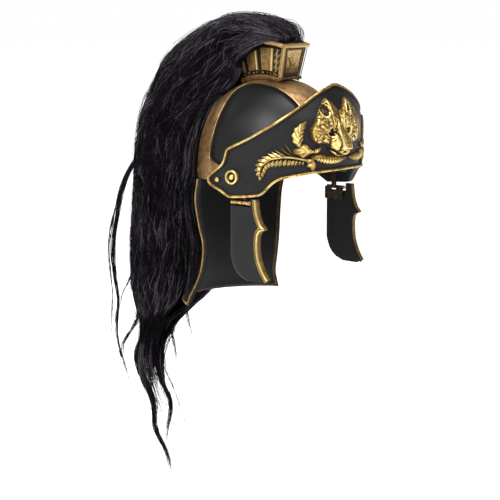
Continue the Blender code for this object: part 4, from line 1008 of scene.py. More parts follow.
def with_fur(total, across, u, d):
    """The head's height with tufts that run out from the muzzle, and a cast, mottled surface."""
    spots = np.stack([across, d], -1)
    turn, away = np.arctan2(d - 8.0, u - 0.3), np.hypot(u - 0.3, d - 8.0)
    wander = 2.4 * np.sin(away * 1.6) + 2.6 * value_noise(np.stack([u, d], -1), 0.9, 4)
    strands = np.sin(turn * 30 + wander)
    fur = np.clip(smooth_step(1.3, 2.4, u), 0, 1) * (1 - smooth_step(8.6, 9.6, d) * (u < 3.9))
    smooth_rim = 1 - smooth_step(7.0, 7.6, u + 0.35 * (d - 7.5))
    broken = 0.5 + 0.5 * value_noise(spots, 0.7, 6)
    total = total + 0.09 * strands * fur * np.clip(total, 0, 1) * broken * smooth_rim
    pits = value_noise(spots, 0.75, 11) + 0.4 * value_noise(spots, 0.35, 12) - 0.15
    deep = 0.30 + 0.55 * smooth_step(1.5, 4.0, across)
    total = total - deep * (np.clip(pits, 0, 1) * fur) * np.clip(total, 0, 1) * smooth_rim
    return total + 0.05 * value_noise(spots, 0.42, 2) + 0.03 * value_noise(spots, 0.2, 3)


def head_relief(across, d):
    """Height of the animal head over the plate, in millimetres."""
    u = np.where(across < head_middle, head_middle - across, 1.3 * (across - head_middle))
    beyond = 1 - 0.5 * smooth_step(0.5, 2.5, across)
    lumps = [0.45 + 0 * u] + [dome(u, d, *lump) for lump in HEAD_LUMPS]
    lumps += [ridge(u, d, start, end, half_width, rise * beyond) for start, end, half_width, rise in EAR_RIMS]
    total = sum(np.maximum(lump, 0)**8 for lump in lumps)**(1 / 8)
    total = np.maximum(total, head_bridge(across, d))
    total = np.maximum(total, dome(across, d, -0.30, 11.55, 1.25, 0.95, 2.75, 0, 0.4))
    for mask, depth in head_hollows(across, u, d):
        total = total * (1 - depth * np.clip(mask, 0, 1))
    eyeball = dome(u, d, 2.80, 7.0, 0.32, 0.28, 0.30, 30, 0.5)
    total = np.maximum(total, np.where(eyeball > 0, 0.30 + eyeball, 0))
    return np.maximum(with_fur(total, across, u, d), 0.08)


def make_head():
    half = np.array([(x * head_width / 2, y * head_height) for x, y in HEAD_OUTLINE])
    right = resample(curve_through(half, 14), 180)
    outline = np.vstack([right, (right * [-1, 1])[-2:0:-1]])
    marks = np.arange(len(outline))
    tufts = 0.10 * np.abs(np.sin(marks * np.pi / 9 + 1.2 * np.sin(marks * 0.09)))
    furred = smooth_step(3.5, 5.5, outline[:, 1]) * (1 - smooth_step(9.8, 10.6, outline[:, 1]))
    centre = np.array([0.0, 0.53 * head_height])
    outline = outline + unit(outline - centre) * (tufts * furred)[:, None]
    rim = 0.93 + 0.07 * np.sin(np.linspace(0.1, 1, 12) * np.pi / 2)
    shares = np.concatenate([np.linspace(0.02, 0.93, 62), rim])
    places = centre + (outline - centre)[None] * shares[:, None, None]
    across, down = places[..., 0], places[..., 1]
    edge = np.sqrt(np.clip(1 - ((shares - 0.93) / 0.07).clip(0, 1)**2, 0, 1))[:, None]
    rise = head_relief(across, down) * edge
    around = sum(head_relief(across + 0.32 * math.cos(turn), down + 0.32 * math.sin(turn)) / 8
                 for turn in full_turn(8))
    hollow = np.clip((around * edge - rise) / 0.10, -1, 1)
    far = 1 - 0.35 * smooth_step(1.0, 7.0, across)
    # Painted shade in hollows and low places; painted highlights on ridges and on the near whisker pad.
    wash = np.clip(0.9 * hollow, 0, 1) + 0.55 * np.clip(1 - rise / 0.55, 0, 1)
    lit = -0.8 * hollow + 0.5 * smooth_step(1.9, 2.4, rise) * (across < -0.8)
    shine = np.clip(lit, 0, 1) * (rise > 0.5)
    height = np.where(shares[:, None] >= 1, sunk, seat_gap + rise * far)
    front = relief_point(head_shift + across, head_top_drop + down, height)
    back_shares = np.array([0.7, 0.35, 0.02])
    under = centre + (outline - centre)[None] * back_shares[:, None, None]
    back = relief_point(head_shift + under[..., 0], head_top_drop + under[..., 1], sunk)
    rows = np.concatenate([front, back])
    wash = np.concatenate([np.clip(wash, 0, 1), np.ones(back.shape[:2])])
    shine = np.concatenate([shine, np.zeros(back.shape[:2])])
    Form().loft(rows, wash, shine).make("animal_head", gold, "antique_gold", "helmet", ["wolf_head"], 0)


# Leaf sprays

# Fronds of the curled branch: root and tip, each as (across, drop), and half width
THIN_FRONDS = [
    (12.9, 14.8, 14.6, 12.45, 0.17), (13.1, 15.2, 15.7, 13.25, 0.17), (14.2, 15.3, 17.0, 13.7, 0.20)]
UPPER_FRONDS = [
    (15.2, 15.5, 17.6, 14.25, 0.34), (16.2, 15.55, 18.4, 14.65, 0.46), (17.3, 15.8, 19.6, 15.45, 0.54),
    (18.3, 16.25, 20.6, 16.25, 0.56), (19.1, 17.0, 21.15, 17.3, 0.56), (19.7, 17.9, 21.3, 18.45, 0.52),
    (20.0, 18.8, 21.0, 19.6, 0.46), (20.1, 19.5, 20.2, 20.7, 0.38)]
LOWER_FRONDS = [
    (10.7, 16.4, 11.0, 17.3, 0.24), (11.3, 16.3, 11.8, 17.25, 0.27), (12.0, 16.2, 12.7, 17.4, 0.31),
    (12.7, 16.1, 13.4, 17.4, 0.36), (13.5, 16.0, 14.15, 17.5, 0.40), (14.4, 15.9, 15.0, 17.5, 0.43),
    (15.3, 15.9, 15.9, 17.6, 0.45), (16.1, 15.95, 16.75, 17.7, 0.46), (17.0, 16.1, 17.55, 17.8, 0.46),
    (17.8, 16.4, 18.3, 18.0, 0.44), (18.5, 16.9, 18.85, 18.55, 0.41), (19.0, 17.6, 19.2, 19.3, 0.37),
    (19.4, 18.5, 19.5, 20.05, 0.33)]
SPRAY_SPINE = [(9.8, 16.3), (11.0, 16.0), (12.9, 15.6), (14.5, 15.45), (16.5, 15.7), (18.2, 16.2),
               (19.4, 17.2), (20.05, 18.2), (20.25, 19.5), (20.1, 20.3)]


def add_leaf(form, side, root, tip, half_width, bend=0.0, rise=0.6, lobes=0, lobe_depth=0.35, base=0.0,
             rows=30, columns=13, blunt=0.8, lean=0.0, veins=0.08, hollow=0.0, pitch=0.58, glow=0.3):
    """Adds a leaf on the plate between two places given as (across, drop). Its crown may lean to one
    side, and it may be lobed or hollowed."""
    root, tip = np.array(root, float), np.array(tip, float)
    share = np.linspace(0.0, 1.0, rows)
    way = unit(tip - root)
    out = np.array([way[1], -way[0]])
    length = np.linalg.norm(tip - root)
    spine = root + (tip - root) * share[:, None] + out * (bend * np.sin(np.pi * share))[:, None]
    ahead = unit(np.gradient(spine, axis=0))
    outward = np.stack([ahead[:, 1], -ahead[:, 0]], -1)
    width = half_width * np.clip(np.sin(np.pi * np.clip(share, 0.03, 0.985)**blunt), 0, 1)**0.75
    a = np.linspace(-1, 1, columns)
    notch = lobe_depth * (0.5 + 0.5 * np.cos(2 * np.pi * lobes * share + np.pi)) if lobes else 0 * share
    edge = width[:, None] * a[None, :] * (1 - notch[:, None])
    sweep_back = 0.18 * half_width * np.abs(a)[None, :] * (1 if lobes else 0.4)
    place = spine[:, None] + outward[:, None] * edge[..., None] + ahead[:, None] * sweep_back[..., None]
    crown = np.sqrt(np.clip(1 - a**2, 0.0, 1))
    swell = np.clip(np.sin(np.pi * np.clip(share, 0.06, 0.97)**0.7), 0.15, 1)[:, None]
    vein = 0.16 * np.exp(-(a / 0.14)**2)[None, :] * swell * (0 if hollow else 1)
    flutes = veins * np.sin((share[:, None] * length / pitch - np.abs(a)[None, :] * 1.1) * 2 * np.pi)
    body = crown[None, :] * swell
    dip = hollow * np.exp(-(a / 0.38)**2)[None, :] * swell
    height = rise * (0.22 + 0.72 * body * (1 + lean * a[None, :]) + vein + flutes * body - dip)
    # Painted shade at the low edges, in the flutes and hollows; painted highlights on the vein, the flute
    # crests and the lit side of the crown.
    wash = np.clip(0.75 - 1.2 * body - 3.0 * flutes * body + 1.8 * dip, 0, 1)
    lit_side = np.clip(0.5 + 0.9 * np.sign(lean) * a[None, :], 0, 1)
    shine = np.clip(1.6 * vein + 3.0 * flutes * body + glow * body * lit_side, 0, 1)
    front = relief_point(side * place[..., 0], place[..., 1], seat_gap + base + height)
    back = relief_point(side * place[..., 0], place[..., 1], sunk)
    form.shell(front, back, wash, shine)


def make_spray(side):
    label = "right" if side < 0 else "left"
    form = Form()
    spine = resample(curve_through(SPRAY_SPINE), 60)
    share = np.linspace(0, 1, len(spine))
    stem = relief_point(side * spine[:, 0], spine[:, 1], seat_gap + 0.30 + 0.10 * np.sin(np.pi * share))
    normals = brow_normal(np.degrees(side * spine[:, 0] / 19.5), brow_top - spine[:, 1])
    # The stem takes a little painted shade and a painted highlight.
    tube(form, stem, 0.22 - 0.09 * share, 10, 0.1, 0.35, normals)
    far = 0.45 if side > 0 else 1.0
    for x, z, tip_x, tip_z, width in THIN_FRONDS:
        add_leaf(form, side, (x, z), (tip_x, tip_z), width, -0.22, 0.50 * far, rows=14, columns=7,
                 blunt=0.9, glow=0.6)
    for x, z, tip_x, tip_z, width in UPPER_FRONDS:
        tip = (x + 1.05 * (tip_x - x), z + 1.05 * (tip_z - z))
        add_leaf(form, side, (x, z), tip, 1.02 * width, -0.12, 0.70 * far, rows=16, columns=9, blunt=0.75,
                 lean=0.4, veins=0.0, glow=1.0)
    for x, z, tip_x, tip_z, width in LOWER_FRONDS:
        add_leaf(form, side, (x, z), (tip_x, tip_z), width, 0.10, 0.60 * far, rows=14, columns=9, blunt=1.1,
                 veins=0, hollow=0.38, glow=0.7)
    add_leaf(form, side, (11.6, 13.3), (10.4, 7.9), 1.40, -1.05, 0.95 * far, 5, 0.24, rows=56, columns=17,
             blunt=0.72, lean=-0.40, veins=0.14, pitch=1.1, glow=1.0)
    add_leaf(form, side, (8.1, 14.4), (12.95, 14.15), 1.45, 0.0, 0.85 * far, 2, 0.42, 0.1, rows=40,
             columns=19, blunt=1.2, lean=0.25, veins=0.12, pitch=1.3, glow=0.7)
    add_leaf(form, side, (9.3, 13.9), (11.3, 12.9), 0.62, 0.0, 0.75 * far, rows=24, columns=13,
             blunt=1.2, veins=0.04)
    add_leaf(form, side, (9.0, 15.3), (8.75, 18.6), 0.80, 0.05, 0.85 * far, 2, 0.25, 0.14, rows=30,
             columns=15, blunt=1.5, veins=0.05, glow=0.2)
    for root, tip in (((9.2, 15.9), (10.2, 16.7)), ((9.0, 16.9), (10.1, 17.6))):
        add_leaf(form, side, root, tip, 0.50, 0.0, 0.9 * far, base=0.18, rows=18, columns=11, blunt=1.3,
                 glow=1.0)
    add_leaf(form, side, (8.7, 14.6), (7.0, 13.4), 0.50, 0.15, 0.8 * far, 0, base=0.1, rows=24, columns=13)
    add_leaf(form, side, (8.6, 15.2), (5.9, 15.3), 0.55, 0.25, 0.8 * far, 2, 0.2, 0.12, rows=26, columns=13)
    add_leaf(form, side, (9.3, 15.5), (0.3 + 0.8 * side, 16.25), 1.0, 0.60, 0.85 * far**0.5, 13, 0.32, 0.05,
             rows=126, columns=15, blunt=0.9, lean=0.15, veins=0.16, pitch=0.69, glow=0.7)
    form.make(f"spray_{label}", gold, "antique_gold", "helmet", [f"leaf_spray_{label}"], 50)


# Ear bosses and studs

def turned(form, angle, drop, side, profile, wash, shine, sides=48):
    """Adds a turned knob on the plate; its profile holds (radius, height) from the foot to the top."""
    z = brow_top - drop
    centre, normal = brow_point(side * angle, z), brow_normal(side * angle, z)
    upward = unit(np.array([0, 0, 1.0]) - normal * normal[2])
    turns = full_turn(sides)[:, None]
    ring = np.cross(upward, normal) * np.cos(turns) + upward * np.sin(turns)
    rows = [centre + ring * r + normal * (seat_gap + h if h > 0 else sunk) for r, h in profile]
    wash, shine = [np.array(values, float)[:, None] for values in (wash, shine)]
    form.loft(rows, wash, shine)


def make_bosses(side):
    label = "right" if side < 0 else "left"
    r, h = boss_radius, boss_rise
    rim = [(r * (0.79 + 0.20 * math.cos(t)), h * (0.40 + 0.60 * math.sin(t)))
           for t in np.linspace(0, np.pi, 12)]
    cup = [(0.55 * r, 0.30 * h), (0.46 * r, 0.26 * h)]
    leans = np.linspace(0, np.pi / 2 - 0.08, 9)
    knob = [(r * 0.40 * math.cos(t), h * (0.35 + 0.70 * math.sin(t))) for t in leans]
    # Painted shade at the foot and down in the cup; painted highlights over the rim and the knob.
    wash = [0.8, 0.4] + [0.0] * 9 + [0.5, 0.9, 1.0, 1.0, 0.7, 0.3] + [0.0] * 7
    shine = [0, 0, 0.2, 0.5, 0.8, 0.9, 0.8, 0.5, 0.2] + [0] * 8 + [0.2, 0.4, 0.6, 0.7, 0.8, 0.8, 0.8]
    form = Form()
    turned(form, boss_angle, boss_drop, side, [(r, 0)] + rim + cup + knob, wash, shine)
    form.make(f"ear_ring_{label}", gold, "antique_gold", "helmet", [f"ear_boss_{label}"], 50)
    r, h = stud_radius, stud_rise
    profile = [(r, 0), (r, 0.2 * h)] + [(r * math.cos(t), h * (0.25 + 0.75 * math.sin(t)))
                                        for t in np.linspace(0.1, np.pi / 2 - 0.08, 9)]
    form = Form()
    # The stud: painted shade at its foot, a painted highlight over its dome.
    turned(form, stud_angle, stud_drop, side, profile, [1, 0.8, 0.5] + [0] * 8, [0, 0, 0] + [0.5] * 8, 32)
    form.make(f"ear_knob_{label}", gold, "antique_gold", "helmet", [f"ear_stud_{label}"], 50)


# Cheek guards

def cheek_edges(count):
    """Drop, rear edge and front edge of the guard below its tab, with the front corners eased."""
    knots = np.array(CHEEK_ROWS)
    drops = np.linspace(knots[2, 0], 1.0, count)
    rear, fore = [np.interp(drops, knots[:, 0], knots[:, k]) for k in (1, 2)]
    return drops, rear, relax(fore[:, None], 2)[:, 0]


def make_cheek(side):
    label = "right" if side < 0 else "left"
    body = f"cheek_guard_{label}"
    half = cheek_wall / 2
    drops, rear, fore = cheek_edges(90)
    alongs = np.linspace(0, 1, 16)
    grid = rear[:, None] + (fore - rear)[:, None] * alongs[None, :]
    curve = np.clip(1 - ((np.abs(alongs - 0.5) - 0.44).clip(0) / 0.06)**2, 0, 1)
    ease = 0.16 * (1 - np.sqrt(curve))[None, :]
    form = Form()
    # The guard's inner face is darkened with painted shade.
    form.shell(cheek_point(drops[:, None], grid, side, half - ease),
               cheek_point(drops[:, None], grid, side, -half + ease), back_wash=0.7)
    tab, rows = np.linspace(0.54, 0.705, 8), np.linspace(CHEEK_ROWS[0][0], 0.06, 10)
    form.shell(*[cheek_point(rows[:, None], tab[None, :], side, height)
                 for height in (half - 0.01, 0.01 - half)])
    form.make(f"cheek_{label}", black, "black_satin", body, [f"cheek_guard_{label}"], 40)
    knots = np.array(CHEEK_ROWS)[:-1]
    path = np.column_stack([-cheek_rear - knots[:, 2] * cheek_depth, -knots[:, 0] * cheek_drop])
    path = relax(resample(path, spacing=0.16), 3)
    drop, along = -path[:, 1] / cheek_drop, (-path[:, 0] - cheek_rear) / cheek_depth
    points = cheek_point(drop, along, side, half + seat_gap)
    if side < 0:
        points = points[::-1]
    normals = np.broadcast_to(np.array([side, 0.0, 0.0]), points.shape)
    form = Form()
    sweep(form, points, normals, TRIM_PROFILE, trim_width, trim_rise)
    form.make(f"cheek_border_{label}", gold, "antique_gold", body, [f"cheek_trim_{label}"], 60)


# Neck guard

def make_neck():
    turns, shares = np.linspace(-1, 1, 60), np.linspace(0, 1, 50)
    outer = neck_face(turns[None, :], shares[:, None])
    inner = outer - neck_normal(turns[None, :], shares[:, None]) * neck_wall
    inner[..., 2] = outer[..., 2]
    # The guard's inner face is darkened with painted shade.
    form = Form().shell(outer, inner, back_wash=1.0)
    form.make("neck_shell", black, "black_satin", "helmet", ["neck_guard"])
    down, across = np.linspace(0, 1, 110), np.linspace(-1, 1, 150)[1:-1]
    route = np.vstack([np.column_stack([-np.ones(len(down)), down]),
                       np.column_stack([across, np.ones(len(across))]),
                       np.column_stack([np.ones(len(down)), down[::-1]])])
    path, normals = neck_face(*route.T), neck_normal(*route.T)
    form = Form()
    sweep(form, path + normals * seat_gap, normals, NECK_PROFILE, neck_edging_width, edging_rise)
    form.make("neck_border", gold, "antique_gold", "helmet", ["neck_edging"], 60)


# Crest box

# Parts of the box's side, from the front: where each ends, its depth, painted shade and painted highlight
CREST_PARTS = [(0.025, 0.00, 0.10, 0.4), (0.045, 0.60, 1.00, 0.0), (0.175, 0.36, 0.80, 0.0),
               (0.195, 0.60, 1.00, 0.0), (0.235, 0.02, 0.00, 0.7), (0.460, 0.16, 0.12, 0.0),
               (0.545, 0.66, 1.00, 0.0), (0.580, 0.04, 0.00, 0.9), (0.780, 0.18, 0.25, 0.0),
               (0.865, 0.66, 1.00, 0.0), (0.900, 0.04, 0.00, 0.9), (1.010, 0.18, 0.25, 0.0)]


def crest_depth(angle, height):
    """How deep the box's side lies below its frame, in millimetres, its painted shade and painted highlight.
    """
    at = (angle - crest_front_angle) / (crest_back_angle - crest_front_angle) + 0 * height
    parts = np.array(CREST_PARTS)
    index = np.clip(np.searchsorted(parts[:, 0], at), 0, len(parts) - 1)
    depth, wash, shine = [parts[index, k] for k in (1, 2, 3)]
    strip = index == 2
    carve = 0.16 * np.sin(height * 4.3 + 1.5 * np.sin(at * 90))
    spine = np.exp(-((at - 0.118) / 0.012)**2)
    depth = np.where(strip, depth + carve - 0.30 * spine, depth)
    # Painted shade in the carving's hollows, painted highlight along its spine.
    wash = np.where(strip, np.clip(0.55 + 2.5 * carve - 0.9 * spine, 0, 1), wash)
    shine = np.where(strip, 0.7 * spine, shine)
    return depth, wash, shine


# Heights of the lip's underside and of the foot band's top
lip_under, foot_top = crest_height - crest_lip_height, 0.62 * crest_foot_height
# Studs along the box's foot, as shares of its length
CREST_STUDS = (0.09, 0.14, 0.23, 0.31, 0.43, 0.58, 0.66, 0.78, 0.90)


def add_crest_wall(form):
    """Adds the closed body of the box with its panels and flutes."""
    angles = np.linspace(crest_front_angle, crest_back_angle, 190)
    heights = np.concatenate([[0.0, 0.25, 0.45, foot_top], np.linspace(foot_top + 0.08, lip_under, 28),
                              [lip_under + 0.12, lip_under + 0.25, crest_height]])
    width = crest_foot_half + (crest_top_half - crest_foot_half) * heights / crest_height
    depth, wash, shine = crest_depth(angles[:, None], heights[None, :])
    upper = smooth_step(lip_under - 0.75, lip_under - 0.35, heights)[None, :]
    lower = 1 - smooth_step(foot_top + 0.75, foot_top + 1.05, heights)[None, :]
    post = (angles < crest_front_angle + 1.0)[:, None]
    ends = np.maximum(upper, lower)
    depth = np.where(post, depth, depth + (0.62 - depth) * ends)
    # Painted shade where the panels sink under the lip and above the foot.
    wash = np.where(post, wash, np.maximum(wash, ends))
    # Painted shadow of the hair, growing towards the lip.
    wash = np.clip(wash + 0.35 * smooth_step(lip_under - 3.0, lip_under - 0.6, heights)[None, :], 0, 1)
    foot, lip = (heights <= foot_top)[None, :], (heights > lip_under)[None, :]
    half = np.where(foot, crest_foot_half + 0.2 - 0.1 * (heights[None, :] < 0.2), width[None, :] - depth)
    half = np.where(lip, crest_top_half - 0.2, half)
    wash = np.where(foot, 0.35, wash)
    shine = np.where(foot | lip, 0.0, shine)
    left, right = [crest_place(x, angles[:, None], heights[None, :]) for x in (-half, half)]
    floor = [crest_place(x, angles, 0.0) for x in np.linspace(1, -1, 9)[1:-1] * crest_foot_half]
    below = (len(angles), len(floor))
    form.loft(np.concatenate([left, right[:, ::-1], np.stack(floor, 1)], 1),
              np.concatenate([wash, wash[:, ::-1], np.ones(below)], 1),
              np.concatenate([shine, shine[:, ::-1], np.zeros(below)], 1))


def add_crest_side(form, side, ahead):
    """Adds the rails, studs and front posts of one side; the far side's post is thin and darkened
    with painted shade.
    """
    rail = np.linspace(crest_front_angle - 0.9, crest_back_angle, 60)
    path = crest_place(side * (crest_top_half + 0.02), rail, crest_height - 0.47)
    # The top rail carries a painted highlight and the foot rail painted shade.
    tube(form, path, 0.47, 14, 0.0, 0.25, (0, 0.3, 1.0))
    path = crest_place(side * (crest_foot_half + 0.18), rail[4:], 0.30)
    tube(form, path, 0.26, 10, 0.35, 0.0, (0, 0.3, 1.0))
    for i, share in enumerate(CREST_STUDS):
        angle = crest_front_angle + share * (crest_back_angle - crest_front_angle)
        spot = crest_place(side * (crest_foot_half - 0.10), angle, foot_top + 0.42 + 0.12 * (i % 2))
        bead(form, spot, 0.22 + 0.08 * (i % 3 == 1), (side, 0, 0), 0.8)
    foot = crest_place(side * crest_foot_half, crest_front_angle, 0.75) + ahead * 0.22
    top = crest_place(side * crest_top_half, crest_front_angle, lip_under + 0.2) + ahead * 0.22
    # Near side posts carry a painted highlight; the far post is darkened with painted shade.
    posts, wash, shine = (((0.08, 0.20), (0.50, 0.12)), 0.0, 0.4) if side < 0 else (((0.04, 0.10),), 0.9, 0.0)
    for inset, radius in posts:
        path = np.linspace(foot - [side * inset, 0, 0], top - [side * inset, 0, 0], 12)
        tube(form, path + ahead * 0.12, radius, 12, wash, shine, ahead)


def add_crest_front(form, ahead):
    """Adds the front's two round edges and its plate with a fan of petals."""
    across = np.linspace(-1, 1, 24)
    edge = crest_place(across * (crest_top_half + 0.1), crest_front_angle, crest_height - 0.45) + ahead * 0.42
    # The upper edge carries a painted highlight, the lower edge painted shade.
    tube(form, edge, 0.46, 14, 0.0, 0.45)
    edge = crest_place(across * (crest_foot_half + 0.1), crest_front_angle, 0.45) + ahead * 0.30
    tube(form, edge, 0.36, 12, 0.5, 0.0)
    h = np.linspace(crest_foot_height + 0.1, lip_under + 0.1, 38)[:, None]
    a = np.linspace(-1, 1, 38)[None, :]
    half = (crest_foot_half - 0.25) + (crest_top_half - crest_foot_half) * h / crest_height
    share = (h - h[0]) / (h[-1] - h[0])
    inside = smooth_step(0.66, 0.60, np.abs(a)) * smooth_step(0.06, 0.10, share)
    inside = inside * smooth_step(0.95, 0.91, share)
    bars = 0.14 * (np.abs(np.abs(a) - 0.80) < 0.06)
    petals, reach = 0.0, np.hypot(a, (share - 0.30) * 1.3)
    for lean in (-0.75, -0.38, 0.0, 0.38, 0.75):
        off = np.abs(np.arctan2(a, share - 0.22) - lean)
        petal = np.clip(1 - (off / (0.15 + 0.03 * np.cos(lean)))**2, 0, 1)
        petals = np.maximum(petals, petal * smooth_step(0.05, 0.15, reach) * smooth_step(0.78, 0.66, reach))
    steps = 0.5 + 0.5 * np.sin(share * 44)
    carve = 0.26 * petals + 0.10 * steps * smooth_step(0.72, 0.80, share) * inside
    grain = value_noise(np.stack([a * 4 + 0 * h, h + 0 * a], -1), 0.4, 3)
    rise = 0.10 + bars + inside * 0.20 + carve * inside + 0.04 * grain
    # Painted shade around the panel, between its petals and over its lower part; painted highlight over its
    # upper part.
    shade = np.clip(0.75 - 1.3 * inside - 3.0 * bars + 0.5 * (inside > 0.5) * (petals < 0.15) * (share < 0.75)
                    + 0.45 * smooth_step(0.36, 0.24, share) * inside, 0, 1)
    plate = crest_place(half * a, crest_front_angle, h)
    form.shell(plate + ahead * rise[..., None], plate - ahead * 0.05, shade,
               0.5 * inside * smooth_step(0.35, 0.75, share))


def make_crest():
    form = Form()
    add_crest_wall(form)
    turn = math.radians(crest_front_angle)
    ahead = np.array([0, -math.cos(turn), math.sin(turn)])
    for side in (-1, 1):
        add_crest_side(form, side, ahead)
    add_crest_front(form, ahead)
    form.make("crest_housing", bronze_bright, "dull_gold", "helmet", ["crest_box"], 45)


# Hair

def helmet_back(z):
    """How far behind the helmet reaches on its middle, with the hair's clearance."""
    if z > rim_z:
        room = seat_gap + band_rise + plume_clearance
        share = max(0.0, 1 - ((z - bowl_centre) / (bowl_half_height + room))**2)
        band = (bowl_half_length + room) * math.sqrt(share)
        box = (z - bowl_centre) * math.tan(math.radians(crest_back_angle)) + plume_clearance
        return max(band, box if z > -2 * crest_foot_height else 0)
    share = min(1.0, (rim_z - seat_gap - z) / neck_drop)
    return float(neck_face(0.0, max(share, 0.0))[1]) + seat_gap + edging_rise + plume_clearance


def plume_inner(z):
    """The hair's inner side on the middle, at a height."""
    lowest = max(z, rim_z - seat_gap - neck_drop)
    reach = helmet_back(lowest)
    if z < rim_z:
        reach = max(helmet_back(rim_z + (lowest - rim_z) * share) for share in np.linspace(0, 1, 9))
    return reach


def plume_rows():
    """Sections of the hair: inner and outer point (y, z), half width, shift across, drape in
    millimetres, and how far along the box the section stands (1 beyond it)."""
    rows = []
    over_box = crest_height + seat_gap + 0.1
    first, last = PLUME_TOP[0][0], PLUME_TOP[-1][0]
    for angle, thickness, half_width, drape in PLUME_TOP:
        inner = crest_place(0, angle, over_box)
        outer = crest_place(0, angle, over_box + thickness * plume_depth)
        rows.append([inner[1], inner[2], outer[1], outer[2], half_width * plume_half_width, 0.0,
                     drape * crest_height, (angle - first) / (last - first)])
    for drop, outer_drop, room, thickness, half_width, shift, drape in PLUME_FALL:
        inner = plume_inner(-drop * plume_drop) + room * plume_depth
        rows.append([inner, -drop * plume_drop, inner + thickness * plume_depth, -outer_drop * plume_drop,
                     half_width * plume_half_width, shift * plume_depth, drape * crest_height, 1.0])
    return np.array(rows)


def dense_rows(rows):
    """Rows spread evenly along the middle of the hair, and the length up to each."""
    curve = relax(curve_through(rows, 10), 36)
    curve[:, 7] = np.clip(curve[:, 7], 0, 1)
    curve[:, 6] = np.maximum(curve[:, 6], 0)
    middle = (curve[:, 0:2] + curve[:, 2:4]) / 2
    return curve, lengths_along(middle)


def hair_places(table, lengths, marks, around, depth):
    """Places in the hair: marks along it, around from -1 to 1 with 0 on its outer middle, and depth
    from 0 in its heart to 1 on its surface."""
    inner_y, inner_z, outer_y, outer_z, width, shift, drape = [
        np.interp(marks, lengths, table[:, k]) for k in range(7)]
    share, knots = np.abs(around), [0, 0.3, 0.7, 1]
    turn = np.clip(share / 0.6, 0, 1) * np.pi / 2
    size = (np.sin(turn)**2.3 + np.cos(turn)**2.3)**(-1 / 2.3)
    leg = np.clip((share - 0.6) / 0.4, 0, 1)
    draped = np.clip(drape / 2.0, 0, 1)
    clear = np.minimum(crest_top_half + crest_lip + 0.55, 0.97 * width)
    straddle = clear + (width - clear) * np.interp(leg, knots, [1, 0.95, 0.78, 0.45])
    hanging = width * np.interp(leg, knots, [1, 0.99, 0.85, 0.5])
    x = np.where(leg > 0, hanging + (straddle - hanging) * draped, width * np.sin(turn) * size)
    level = np.where(leg > 0, np.interp(leg, knots, [0.5, 0.22, 0.01, 0.0]), 0.5 + 0.5 * np.cos(turn) * size)
    reach = drape * np.interp(leg, knots, [0, 0.30, 0.85, 1.0])
    heart_x = np.minimum(0.5 * width, clear) * np.sin(turn)
    heart_x = heart_x + (1.01 * clear - heart_x) * leg * draped
    x = heart_x + (x - heart_x) * depth
    level = 0.30 * (1 - leg) * (1 - depth) + level * depth
    reach = reach * (0.95 + 0.05 * depth)
    inner, outer = np.stack([inner_y, inner_z], -1), np.stack([outer_y, outer_z], -1)
    span = outer - inner
    place = inner + span * level[..., None] - unit(span) * reach[..., None]
    return np.concatenate([(shift + np.sign(around) * x)[..., None], place], -1)


def make_strands(name, material, paths, radius, tone):
    """A piece of thin tapered strands from paths shaped (strands, points, 3)."""
    sides = 3
    strands, points = paths.shape[:2]
    way = unit(np.gradient(paths, axis=1))
    side = unit(np.cross(way, np.array([0.31, 0.87, 0.38])))
    share, turns = np.linspace(0, 1, points), full_turn(sides)[:, None]
    size = radius[:, None] * (np.sqrt(np.clip(1 - share**3, 0.0, 1)) * 0.92 + 0.08)[None, :]
    ring = side[:, :, None] * np.cos(turns) + np.cross(side, way)[:, :, None] * np.sin(turns)
    index = np.arange(strands * points * sides).reshape(strands, points, sides)
    after = np.roll(index, -1, axis=2)
    quads = np.stack([index[:, :-1], after[:, :-1], after[:, 1:], index[:, 1:]], -1).reshape(-1, 4)
    caps = np.concatenate([index[:, 0, ::-1], index[:, -1]])
    rings = paths[:, :, None] + ring * size[:, :, None, None]
    form = Form().add(rings, [quads, caps], 0.0, np.repeat(tone, points * sides))
    form.make(name, material, "black_hair", "helmet", (), 0)


